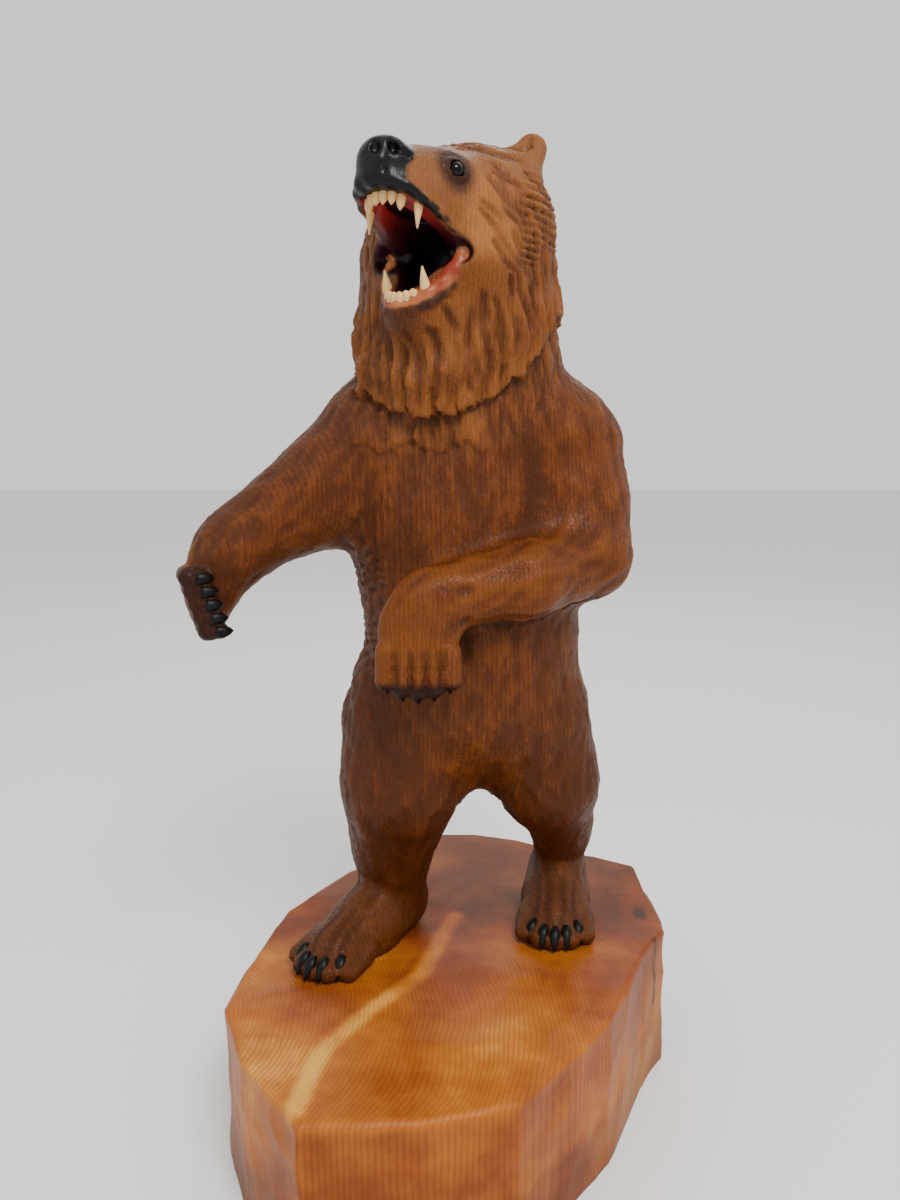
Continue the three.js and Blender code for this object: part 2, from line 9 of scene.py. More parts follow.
import bmesh
import bpy
import numpy as np
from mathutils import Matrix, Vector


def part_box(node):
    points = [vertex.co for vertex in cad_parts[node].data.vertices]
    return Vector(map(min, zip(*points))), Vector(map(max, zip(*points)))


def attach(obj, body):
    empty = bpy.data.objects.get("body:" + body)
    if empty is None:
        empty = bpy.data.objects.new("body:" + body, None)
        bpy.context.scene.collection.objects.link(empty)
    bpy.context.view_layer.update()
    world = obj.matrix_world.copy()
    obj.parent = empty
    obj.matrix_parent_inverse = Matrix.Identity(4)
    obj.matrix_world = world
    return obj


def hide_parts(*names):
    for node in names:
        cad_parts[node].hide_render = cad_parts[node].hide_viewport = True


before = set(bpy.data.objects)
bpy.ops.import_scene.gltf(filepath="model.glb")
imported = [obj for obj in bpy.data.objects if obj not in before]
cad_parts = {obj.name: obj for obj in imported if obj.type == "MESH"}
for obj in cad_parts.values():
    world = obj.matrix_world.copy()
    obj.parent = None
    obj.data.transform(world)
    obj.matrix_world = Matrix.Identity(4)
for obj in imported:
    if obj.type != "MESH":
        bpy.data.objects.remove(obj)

import openvdb
from mathutils import Matrix, Vector, kdtree

LOG = logging.getLogger("carved_bear")

# Driving sizes in millimetres, the same as the solid's.
FIGURE_HEIGHT = 600.0
PLINTH_WIDTH = 334.0
PLINTH_DEPTH = 428.0
PLINTH_HEIGHT = 118.0
STAND_X = -8.0
RIM_DROP = 3.0
RIM_BEVEL = 4.0
SHARE = FIGURE_HEIGHT / 1000.0  # millimetres in one figure unit, a thousandth of the figure's height

SIDES = (-1, 1)  # the bear's right, then its left
TOES = (-2, -1, 0, 1, 2)

Points = np.ndarray


def on_plinth(places: Points) -> Points:
    """Turns figure units into metres on the plinth.

    Args:
        places: Rows of x, y, z in figure units above the plinth's top.

    Returns:
        The same rows in metres in the part's frame.
    """
    metres = np.asarray(places, float) * SHARE
    return (metres + np.array([STAND_X, 0.0, PLINTH_HEIGHT])) / 1000.0


def off_plinth(places: Points) -> Points:
    """Turns metres in the part's frame back into figure units."""
    return (np.asarray(places, float) * 1000.0 - np.array([STAND_X, 0.0, PLINTH_HEIGHT])) / SHARE


def unit(rows: Points) -> Points:
    """Scales each row to length one."""
    return rows / np.maximum(np.linalg.norm(rows, axis=-1, keepdims=True), 1e-9)


def ramp(values: np.ndarray, low: float, high: float) -> np.ndarray:
    """Smooth step from 0 at low to 1 at high, or the other way round when low is the larger."""
    share = np.clip((values - low) / (high - low), 0.0, 1.0)
    return share * share * (3.0 - 2.0 * share)


# Forms of the clay


@dataclass(frozen=True)
class Stance:
    """A turned and moved frame for a head, a paw or a foot: x forward, y to the bear's left, z up."""

    origin: tuple
    yaw: float
    pitch: float

    @property
    def axes(self) -> Points:
        """The three unit axes as rows."""
        turn, tip = math.radians(self.yaw - 90.0), math.radians(-self.pitch)
        about_z = np.array(
            [[math.cos(turn), -math.sin(turn), 0], [math.sin(turn), math.cos(turn), 0], [0, 0, 1]]
        )
        about_y = np.array([[math.cos(tip), 0, math.sin(tip)], [0, 1, 0], [-math.sin(tip), 0, math.cos(tip)]])
        return (about_z @ about_y).T

    def at(self, forward: float, left: float, up: float) -> Points:
        """The place of a point that is given in this frame."""
        return np.asarray(self.origin, float) + np.array([forward, left, up], float) @ self.axes

    def local(self, places: Points) -> Points:
        """Points given in figure units, in this frame."""
        return (places - np.asarray(self.origin, float)) @ self.axes.T


WORLD = np.eye(3)


@dataclass(frozen=True)
class Lump:
    """An ellipsoid with its radii along three axes."""

    centre: Points
    radii: tuple
    axes: Points = field(default_factory=lambda: WORLD)

    def reach(self) -> tuple:
        """Lowest and highest corner of the form."""
        half = np.linalg.norm(self.axes * np.asarray(self.radii, float)[:, None], axis=0)
        return np.asarray(self.centre) - half, np.asarray(self.centre) + half

    def distance(self, points: Points) -> np.ndarray:
        """Nearly the signed distance from each point to the surface."""
        radii = np.asarray(self.radii, float)
        local = (points - np.asarray(self.centre, float)) @ self.axes.T / radii
        near = np.sqrt((local * local).sum(-1))
        local /= radii
        steep = np.sqrt((local * local).sum(-1))
        return near * (near - 1.0) / np.maximum(steep, 1e-9)


@dataclass(frozen=True)
class Limb:
    """A rounded limb from one place to another with a radius at each."""

    start: Points
    start_radius: float
    end: Points
    end_radius: float

    def reach(self) -> tuple:
        """Lowest and highest corner of the form."""
        start, end = np.asarray(self.start, float), np.asarray(self.end, float)
        low = np.minimum(start - self.start_radius, end - self.end_radius)
        return low, np.maximum(start + self.start_radius, end + self.end_radius)

    def distance(self, points: Points) -> np.ndarray:
        """Signed distance from each point to the surface."""
        start = np.asarray(self.start, float)
        axis = np.asarray(self.end, float) - start
        length = float(np.linalg.norm(axis))
        slope = (self.start_radius - self.end_radius) / length
        side = math.sqrt(max(1.0 - slope * slope, 1e-6))
        offset = points - start
        along = offset @ (axis / length)
        across = np.sqrt(np.maximum((offset * offset).sum(-1) - along * along, 0.0))
        place = along - across * slope / side
        wall = across * side + along * slope - self.start_radius
        wall = np.where(place <= 0.0, np.hypot(across, along) - self.start_radius, wall)
        return np.where(place >= length, np.hypot(across, along - length) - self.end_radius, wall)


def chain(*points: tuple) -> list:
    """Limbs end to end through points that each hold a place and a radius."""
    return [Limb(a[0], a[1], b[0], b[1]) for a, b in zip(points, points[1:])]


def melt(first: np.ndarray, second: np.ndarray, blend: float) -> np.ndarray:
    """The smaller of two distances, rounded off where they are within blend of each other."""
    share = np.maximum(blend - np.abs(first - second), 0.0) / blend
    return np.minimum(first, second) - share * share * blend / 4.0


class Clay:
    """A block that forms are added to and cut from, evaluated on a grid or at loose points."""

    margin = 12.0
    far_away = 1000.0

    def __init__(self) -> None:
        """Starts with no forms."""
        self.steps: list[tuple] = []

    def add(self, blend: float, *forms: object) -> None:
        """Adds forms that melt into what is there over the given distance."""
        self.steps += [(form, blend, 1.0) for form in flat(forms)]

    def cut(self, blend: float, *forms: object) -> None:
        """Cuts forms away, with edges rounded over the given distance."""
        self.steps += [(form, blend, -1.0) for form in flat(forms)]

    def grid(self, low: Points, high: Points, cell: float) -> np.ndarray:
        """Signed distances on a grid.

        Args:
            low: Lowest corner of the block.
            high: Highest corner of the block.
            cell: Distance between grid points.

        Returns:
            The distances as an array over x, y and z.
        """
        counts = np.ceil((high - low) / cell).astype(int) + 1
        block = np.full(counts, self.far_away, np.float32)
        for form, blend, sign in self.steps:
            reach_low, reach_high = form.reach()
            reach = blend + self.margin
            start = np.maximum(np.floor((reach_low - reach - low) / cell).astype(int), 0)
            stop = np.minimum(np.ceil((reach_high + reach - low) / cell).astype(int) + 1, counts)
            if (stop <= start).any():
                continue
            axes = [low[k] + cell * np.arange(start[k], stop[k]) for k in range(3)]
            points = np.stack(np.meshgrid(*axes, indexing="ij"), -1)
            window = tuple(slice(start[k], stop[k]) for k in range(3))
            block[window] = sign * melt(sign * block[window], form.distance(points), blend)
        return block

    def distance(self, points: Points) -> np.ndarray:
        """Signed distance at loose points, the same as the grid would hold there."""
        values = np.full(len(points), self.far_away)
        for form, blend, sign in self.steps:
            low, high = form.reach()
            reach = blend + self.margin
            near = np.flatnonzero(((points > low - reach) & (points < high + reach)).all(1))
            if len(near):
                values[near] = sign * melt(sign * values[near], form.distance(points[near]), blend)
        return values

    def slope(self, points: Points, step: float = 0.8) -> Points:
        """Gradient of the distance at loose points."""
        rows = [self.distance(points + step * axis) - self.distance(points - step * axis) for axis in WORLD]
        return np.stack(rows, -1) / (2.0 * step)


def flat(forms: Iterable) -> list:
    """Forms and lists of forms as one list."""
    rows: list = []
    for form in forms:
        rows += flat(form) if isinstance(form, (list, tuple)) else [form]
    return rows


def nearest(forms: Iterable, points: Points) -> np.ndarray:
    """Distance from each point to the nearest of some forms."""
    return np.min([form.distance(points) for form in flat(forms)], axis=0)


# Meshes


def mesh_object(name: str, places: Points, faces: Sequence, smooth: bool = True) -> bpy.types.Object:
    """Makes a mesh object that sits at the origin.

    Args:
        name: Name of the object and its mesh.
        places: Vertices in metres.
        faces: Corner numbers of each face.
        smooth: Whether the faces are shaded smooth.

    Returns:
        The new object, linked to the scene.
    """
    mesh = bpy.data.meshes.new(name)
    corners = [tuple(place) for place in np.asarray(places, float)]
    mesh.from_pydata(corners, [], [tuple(map(int, face)) for face in faces])
    mesh.polygons.foreach_set("use_smooth", [smooth] * len(mesh.polygons))
    mesh.update()
    piece = bpy.data.objects.new(name, mesh)
    bpy.context.scene.collection.objects.link(piece)
    return piece


def set_attribute(piece: bpy.types.Object, name: str, values: np.ndarray) -> None:
    """Stores one number for each vertex under a name."""
    layer = piece.data.attributes.new(name, "FLOAT", "POINT")
    layer.data.foreach_set("value", np.asarray(values, np.float32))


def places_of(piece: bpy.types.Object) -> Points:
    """The vertices of a piece in metres."""
    flat_places = np.empty(3 * len(piece.data.vertices), np.float32)
    piece.data.vertices.foreach_get("co", flat_places)
    return flat_places.reshape(-1, 3).astype(float)


def put_places(piece: bpy.types.Object, places: Points) -> None:
    """Moves the vertices of a piece to new places in metres."""
    piece.data.vertices.foreach_set("co", np.asarray(places, np.float32).ravel())
    piece.data.update()


def refine(piece: bpy.types.Object, wanted: np.ndarray) -> None:
    """Halves the faces whose corners are all wanted.

    Args:
        piece: The mesh object to change.
        wanted: One truth value for each vertex.
    """
    work = bmesh.new()
    work.from_mesh(piece.data)
    work.verts.ensure_lookup_table()
    faces = [face for face in work.faces if all(wanted[corner.index] for corner in face.verts)]
    edges = list({edge for face in faces for edge in face.edges})
    bmesh.ops.subdivide_edges(work, edges=edges, cuts=1, use_grid_fill=True)
    work.to_mesh(piece.data)
    work.free()


# The figure


class Region(Enum):
    """Parts of the figure that have their own fur."""

    TRUNK = "trunk"
    RUFF = "ruff"
    HEAD = "head"
    RIGHT_ARM = "right_arm"
    LEFT_ARM = "left_arm"
    FOREARM = "forearm"
    LEGS = "legs"
    FEET = "feet"
    HANDS = "hands"


@dataclass
class Figure:
    """The standing bear: the forms of its clay, in figure units, and how it is cut and refined."""

    cell: float = 4.7
    low: tuple = (-366.0, -192.0, -30.0)
    high: tuple = (276.0, 252.0, 1026.0)
    eye_radius: float = 5.5 / SHARE
    eye_gap: float = 0.35 / SHARE
    head: Stance = Stance((30.0, 24.0, 872.0), -38.0, 14.0)
    left_hand: Stance = Stance((-36.0, -102.0, 452.0), 0.0, -86.0)
    right_hand: Stance = Stance((-296.0, -2.0, 464.0), 4.0, 0.0)
    feet: tuple = (
        Stance((-74.0, 52.0, 0.0), -33.0, 0.0),
        Stance((150.0, 122.0, 0.0), -6.0, 0.0),
    )
    foot_lengths: tuple = (172.0, 144.0)
    jaw_shift: float = -5.0  # the front of the lower jaw was carved a little towards the bear's right
    # Rims round the mouth, from the middle to the corner: forward, left, up and radius, in the frame
    # of the head for the upper jaw and of the lower jaw for the other.
    lip: tuple = (
        (184, 0, 1, 8),
        (179, 18, 0, 8),
        (168, 33, -4, 6),
        (150, 43, -11, 4),
        (127, 48, -17, 3.2),
        (101, 49, -24, 2.8),
        (84, 49, -34, 2.5),
    )
    gum: tuple = ((170, 0, 1, 6), (166, 16, 0, 6), (152, 33, -5, 6), (126, 40, -13, 5), (100, 42, -20, 5))
    jaw_lip: tuple = (
        (104, 0, -5, 4.5),
        (99, 18, -4, 4.5),
        (86, 32, -1, 4.5),
        (68, 42, 4, 4.5),
        (50, 50, 12, 4),
        (34, 56, 24, 3.5),
    )
    jaw_gum: tuple = (
        (98, 0, 3, 7),
        (93, 16, 4, 7),
        (82, 28, 7, 7),
        (66, 38, 12, 7.5),
        (52, 46, 21, 7.5),
        (42, 49, 29, 6.5),
        (35, 50, 35, 5),
    )
    mouth_widths: tuple = (-56, -34, -12, 12, 34, 56)  # where across the head the mouth's wedge is cut
    locks: int = 26
    lid_size: tuple = (12.0, 8.4)
    lid_radius: float = 2.6
    lid_steps: int = 12
    eyes: list = field(default_factory=list)
    clay: Clay = field(default_factory=Clay)
    uncut: Clay = field(default_factory=Clay)
    groups: dict = field(default_factory=dict)
    mouth: list = field(default_factory=list)
    lips: list = field(default_factory=list)
    gums: list = field(default_factory=list)
    jaw_lips: list = field(default_factory=list)
    tongue: list = field(default_factory=list)
    nose: list = field(default_factory=list)
    lids: list = field(default_factory=list)
    toes: list = field(default_factory=list)

    @property
    def jaw(self) -> Stance:
        """Frame of the lower jaw, hinged below and before the ears."""
        return Stance(tuple(self.head.at(30, 0, -48)), -38.0, -24.0)

    @property
    def snout(self) -> Stance:
        """Frame of the nose pad, turned a little further to the front than the head."""
        return Stance(tuple(self.head.at(172, 0, 24)), self.head.yaw + 42.0, self.head.pitch)

    def toe_reach(self, length: float, toe: int) -> float:
        """How far forward a toe of a foot of that length ends."""
        return length - 5.0 * toe * toe

    def hand_reach(self, toe: int) -> float:
        """How far down a toe of the left hand ends."""
        return 86.0 - 3.0 * toe * toe

    def curl_place(self, toe: int, forward: float, across: float) -> Points:
        """A place on the curled right hand, whose toes lie one over another."""
        return self.right_hand.at(forward, across + 5 * (toe + 2), -10 - 16 * toe)

    def add(self, region: Region, blend: float, *forms: object) -> None:
        """Adds forms to the clay and remembers whose fur they carry."""
        self.clay.add(blend, *forms)
        self.groups.setdefault(region, []).extend(flat(forms))

    def carve(self) -> None:
        """Makes all forms, in the order in which they are melted together."""
        self.carve_trunk()
        self.carve_arms()
        self.carve_legs()
        self.carve_head()
        self.carve_hands()
        self.carve_feet()
        self.carve_ruff()
        self.carve_eyes()

    def carve_trunk(self) -> None:
        """Pelvis, belly, chest, shoulders, the hump behind them, a stub of a tail and the neck."""
        self.add(Region.TRUNK, 1, Lump([27, 52, 304], (139, 116, 104)))
        self.add(Region.TRUNK, 70, Lump([28, 44, 415], (135, 118, 120)))
        self.add(Region.TRUNK, 70, Lump([12, 50, 550], (144, 116, 140)))
        self.add(Region.TRUNK, 60, Lump([15, 62, 664], (152, 100, 90)))
        self.add(Region.TRUNK, 60, Lump([20, 118, 668], (92, 62, 100)))
        self.add(Region.TRUNK, 30, Lump([34, 164, 268], (18, 20, 24)))
        self.add(Region.RUFF, 50, chain(([24, 66, 690], 106), ([12, 48, 780], 106), ([12, 42, 876], 106)))
        self.add(Region.RUFF, 30, Lump([-50, 48, 850], (54, 60, 80)))

    def carve_arms(self) -> None:
        """The arm stretched out with its wrist bent down, and the arm folded across the belly."""
        reach = chain(
            ([-96, 58, 636], 76),
            ([-160, 44, 580], 59),
            ([-220, 24, 545], 45),
            ([-268, 4, 512], 38),
            ([-285, -8, 474], 32),
        )
        self.add(Region.RIGHT_ARM, 40, reach)
        self.add(Region.LEFT_ARM, 40, chain(([144, 64, 634], 74), ([158, 42, 560], 58), ([171, 8, 506], 48)))
        self.add(Region.FOREARM, 22, chain(([171, 4, 502], 48), ([90, -72, 488], 42), ([-20, -102, 472], 38)))

    def carve_legs(self) -> None:
        """Thigh, shank and heel of both legs."""
        right = chain(([-54, 40, 286], 88), ([-64, 14, 204], 67), ([-76, 30, 118], 44), ([-74, 44, 52], 42))
        left = chain(([107, 46, 270], 78), ([128, 34, 204], 58), ([151, 76, 132], 34), ([152, 112, 58], 38))
        self.add(Region.LEGS, 45, right)
        self.add(Region.LEGS, 40, left)

    def carve_head(self) -> None:
        """Skull, brow, cheeks, muzzle, nose and lower jaw, with the mouth cut out between the jaws."""
        head, jaw = self.head, self.jaw
        self.add(Region.HEAD, 40, Lump(head.at(0, 0, 28), (86, 80, 71), head.axes))
        for side in SIDES:
            self.add(Region.HEAD, 30, Lump(head.at(34, side * 42, -30), (66, 38, 62), head.axes))
            self.add(Region.HEAD, 16, Lump(head.at(90, side * 26, 44), (30, 20, 15), head.axes))
        self.add(Region.HEAD, 30, Limb(head.at(60, 0, 8), 62, head.at(118, 0, 8), 50))
        self.add(Region.HEAD, 20, Lump(head.at(128, 0, 0), (66, 47, 50), head.axes))
        front = self.jaw_shift
        chin = ((jaw.at(-20, 0, -24), 62), (jaw.at(50, 0.5 * front, -26), 42), (jaw.at(80, front, -12), 29))
        self.add(Region.HEAD, 24, chain(*chin))
        self.mouth = [Limb(head.at(87, y, -45), 8.6, head.at(204, y, -70), 68.2) for y in self.mouth_widths]
        self.uncut.steps = list(self.clay.steps)
        self.clay.cut(8, self.mouth)
        throat = Lump(head.at(104, 0, -40), (66, 30, 34), head.axes)
        palate = Lump(head.at(128, 0, 0), (44, 24, 14), head.axes)
        floor = Lump(jaw.at(48, front, 17), (44, 21, 21), jaw.axes)
        self.clay.cut(8, throat)
        self.clay.cut(6, palate, floor)
        self.mouth += [throat, palate, floor]
        self.tongue = [Lump(jaw.at(42, front, 2), (38, 14, 8), jaw.axes)]
        self.clay.add(5, self.tongue)
        for side in SIDES:
            self.lips += self.rim(head, self.lip, side)
            self.jaw_lips += self.rim(jaw, self.jaw_lip, side, front)
            self.gums += self.rim(head, self.gum, side) + self.rim(jaw, self.jaw_gum, side, front)
        self.clay.add(6, self.lips)
        self.clay.add(6, self.jaw_lips)
        self.clay.add(4, self.gums)
        self.groups[Region.HEAD] += self.lips + self.jaw_lips + self.gums
        self.nose = [Lump(head.at(172, 0, 24), (27, 31, 27), head.axes)]
        self.add(Region.HEAD, 10, self.nose)
        snout = self.snout
        for side in SIDES:
            self.clay.cut(4, Lump(snout.at(28, side * 9.5, 5), (13, 6.5, 9), snout.axes))
            self.clay.cut(3, chain((snout.at(27, side * 13, 2), 3.5), (snout.at(17, side * 27, -2), 3.0)))
            self.add(Region.HEAD, 16, Limb(head.at(-4, side * 43, 84), 25, head.at(-16, side * 49, 114), 18))
            self.clay.cut(8, Lump(head.at(8, side * 51, 115), (15, 9, 17), head.axes))
        groove = ((snout.at(29, 0, 12), 1.8), (snout.at(27, 0, -14), 1.8), (snout.at(22, 0, -26), 1.8))
        self.clay.cut(3, chain(*groove))

    def rim(self, frame_of: Stance, line: tuple, side: int, shift: float = 0.0) -> list:
        """Half of a rim round the mouth, from its middle to the corner on one side."""
        return chain(*((frame_of.at(x, side * y + shift * x / 100.0, z), radius) for x, y, z, radius in line))

    def carve_hands(self) -> None:
        """Both hands with five toes each: the left hangs, and the right is curled."""
        left, right = self.left_hand, self.right_hand
        self.add(Region.HANDS, 22, Lump(left.at(20, 0, 0), (54, 47, 28), left.axes))
        self.add(Region.HANDS, 22, Lump(right.at(-2, 0, -6), (36, 28, 50), right.axes))
        for toe in TOES:
            finger = Limb(left.at(40, toe * 18, 12), 13, left.at(self.hand_reach(toe), toe * 19, 6), 12)
            curl = chain(
                (self.curl_place(toe, 16, -24), 12),
                (self.curl_place(toe, 42, -16), 12),
                (self.curl_place(toe, 46, 0), 10),
            )
            self.add(Region.HANDS, 6, finger)
            self.add(Region.HANDS, 5, curl)
            self.toes += [finger, *curl]

    def carve_feet(self) -> None:
        """Both feet, flat on the ground, with five toes each."""
        for foot, length in zip(self.feet, self.foot_lengths):
            ball = length - 44
            self.add(
                Region.FEET,
                30,
                chain((foot.at(-8, 0, 22), 36), (foot.at(0.5 * ball, 0, 20), 40), (foot.at(ball, 0, 12), 36)),
            )
            for toe in TOES:
                tip = foot.at(self.toe_reach(length, toe), toe * 20, 8)
                finger = Limb(foot.at(ball - 14, toe * 17, 16), 17, tip, 13)
                self.add(Region.FEET, 8, finger)
                self.toes.append(finger)

    def carve_ruff(self) -> None:
        """Locks of fur that hang round the neck and end in a ragged step over the chest."""
        jaw_turn = math.atan2(self.jaw.axes[0][1], self.jaw.axes[0][0])
        for lock in range(self.locks):
            angle = lock / self.locks * 2.0 * math.pi
            front = (1.0 - math.sin(angle)) / 2.0
            shade_under_jaw = ((1.0 + math.cos(angle - jaw_turn)) / 2.0) ** 3
            top = 880.0 - 125.0 * shade_under_jaw
            drop = 775.0 - 130.0 * front + 10.0 * math.sin(lock * 2.4)
            swell = 105.0 + 4.0 * math.cos(lock * 1.7)

            def ring(radius: float, shift: float, height: float, turn: float = angle) -> Points:
                """A place on a ring round the neck."""
                return np.array([6 + radius * math.cos(turn), shift + radius * math.sin(turn), height])

            middle = (ring(swell, 46, (drop + top) / 2 + 10), 17)
            self.add(Region.RUFF, 18, chain((ring(92, 42, top), 9), middle))
            self.add(Region.RUFF, 6, chain(middle, (ring(swell, 58, drop), 9)))

    def carve_eyes(self) -> None:
        """Lids round each glass eye and the drilled socket behind it."""
        for name in ("right_eye", "left_eye"):
            low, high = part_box(name)
            self.eyes.append(off_plinth(np.array((low + high) / 2.0)[None])[0])
        for side, eye in zip(SIDES, self.eyes):
            line = 0.35 * self.head.axes[0] + side * self.head.axes[1] + 0.2 * self.head.axes[2]
            line = line / np.linalg.norm(line)
            along = np.cross(self.head.axes[2], line)
            along /= np.linalg.norm(along)
            over = np.cross(line, along)
            corners = []
            for step in range(self.lid_steps + 1):
                angle = step / self.lid_steps * 2.0 * math.pi
                wide, tall = self.lid_size[0] * math.cos(angle), self.lid_size[1] * math.sin(angle)
                corners.append((eye + wide * along + tall * over + 1.0 * line, self.lid_radius))
            self.lids += chain(*corners)
            self.clay.add(6, chain(*corners))
            self.clay.cut(1, Lump(eye, (self.eye_radius + self.eye_gap,) * 3))


@dataclass
class BearMesh:
    """The bear's skin before it is tooled: cut from the clay and refined at the head and hands."""

    figure: Figure
    name: str = "bear_figure"
    settle_rounds: int = 3
    face_from: float = 62.0  # how far forward in the head's frame the fine face begins
    face_side: float = 90.0
    face_floor: float = -130.0
    ruff_side: float = 62.0
    ruff_heights: tuple = (822.0, 962.0)
    toe_reach: float = 4.0
    hands_above: float = 100.0

    def build(self) -> bpy.types.Object:
        """Cuts the skin out of the clay and sets it exactly on the surface.

        Returns:
            The piece, ready to be tooled.
        """
        figure = self.figure
        low, high = np.array(figure.low), np.array(figure.high)
        block = figure.clay.grid(low, high, figure.cell)
        volume = openvdb.FloatGrid(figure.clay.far_away)
        volume.copyFromArray(np.ascontiguousarray(block))
        corners, quads = volume.convertToQuads(0.0)
        places = low + figure.cell * corners.astype(float)
        piece = mesh_object(self.name, on_plinth(places), quads)
        self.keep_outer(piece)
        places = off_plinth(places_of(piece))
        self.face_out(piece)
        refine(piece, self.fine(places))
        places = settle(figure.clay, off_plinth(places_of(piece)), self.settle_rounds)
        put_places(piece, on_plinth(places))
        LOG.info("%s: %d vertices, %d faces", self.name, len(places), len(piece.data.polygons))
        return piece

    def keep_outer(self, piece: bpy.types.Object) -> None:
        """Leaves only the largest connected shell, without pockets or loose bits."""
        work = bmesh.new()
        work.from_mesh(piece.data)
        unseen = set(work.verts)
        shells = []
        while unseen:
            seed = unseen.pop()
            shell, edge = [seed], [seed]
            while edge:
                corner = edge.pop()
                for link in corner.link_edges:
                    other = link.other_vert(corner)
                    if other in unseen:
                        unseen.discard(other)
                        shell.append(other)
                        edge.append(other)
            shells.append(shell)
        shells.sort(key=len)
        for shell in shells[:-1]:
            bmesh.ops.delete(work, geom=shell, context="VERTS")
        work.to_mesh(piece.data)
        work.free()

    def face_out(self, piece: bpy.types.Object) -> None:
        """Turns the faces outwards."""
        work = bmesh.new()
        work.from_mesh(piece.data)
        bmesh.ops.recalc_face_normals(work, faces=list(work.faces))
        work.to_mesh(piece.data)
        work.free()

    def fine(self, places: Points) -> np.ndarray:
        """Says which vertices lie where the carving is finest: the face, the ruff's edge and the hands."""
        local, height = self.figure.head.local(places), places[:, 2]
        face = (local[:, 0] > self.face_from) & (np.abs(local[:, 1]) < self.face_side)
        face &= local[:, 2] > self.face_floor
        low, high = self.ruff_heights
        rim = (places[:, 0] > self.ruff_side) & (height > low) & (height < high)
        toes = (nearest(self.figure.toes, places) < self.toe_reach) & (height > self.hands_above)
        return face | rim | toes


def settle(clay: Clay, places: Points, rounds: int) -> Points:
    """Moves points onto the clay's surface by Newton steps."""
    for _ in range(rounds):
        depth = clay.distance(places)
        slope = clay.slope(places)
        steep = np.maximum((slope * slope).sum(1), 0.25)
        step = np.clip(depth / steep, -2.0, 2.0)
        places = places - step[:, None] * slope
    return places


# Tooling of the surface


@dataclass(frozen=True)
class Gouge:
    """One kind of cut: how long, wide and deep it is in figure units, and how many cover a given area."""

    length: float
    half_width: float
    depth: float
    cover: float = 1.3


@dataclass(frozen=True)
class Furrow:
    """A deep cut along a line over the surface: places on it, half width and depth in figure units."""

    line: tuple
    half_width: float
    depth: float

    def cut(self, figure: Figure, places: Points) -> np.ndarray:
        """Depth of the furrow at each vertex."""
        rows = []
        for start, end in zip(self.line, self.line[1:]):
            start, end = np.asarray(start, float), np.asarray(end, float)
            steps = max(int(np.linalg.norm(end - start) / 4.0), 1)
            rows += [start + (end - start) * step / steps for step in range(steps)]
        rows.append(np.asarray(self.line[-1], float))
        bed = settle(figure.clay, np.array(rows), 16)
        depth = np.zeros(len(places))
        reach = 1.4 * self.half_width
        near = np.flatnonzero(((places > bed.min(0) - reach) & (places < bed.max(0) + reach)).all(1))
        gaps = np.linalg.norm(places[near, None] - bed[None], axis=2)
        number = gaps.argmin(1)
        width = self.half_width * (1.0 + 0.25 * np.sin(1.7 * number) + 0.15 * np.sin(0.6 * number + 1.0))
        fade = np.sin(math.pi * (number + 1.0) / (len(bed) + 1.0)) ** 0.5
        depth[near] = self.depth * fade * np.clip(1.0 - (gaps.min(1) / width) ** 2, 0.0, 1.0)
        return depth


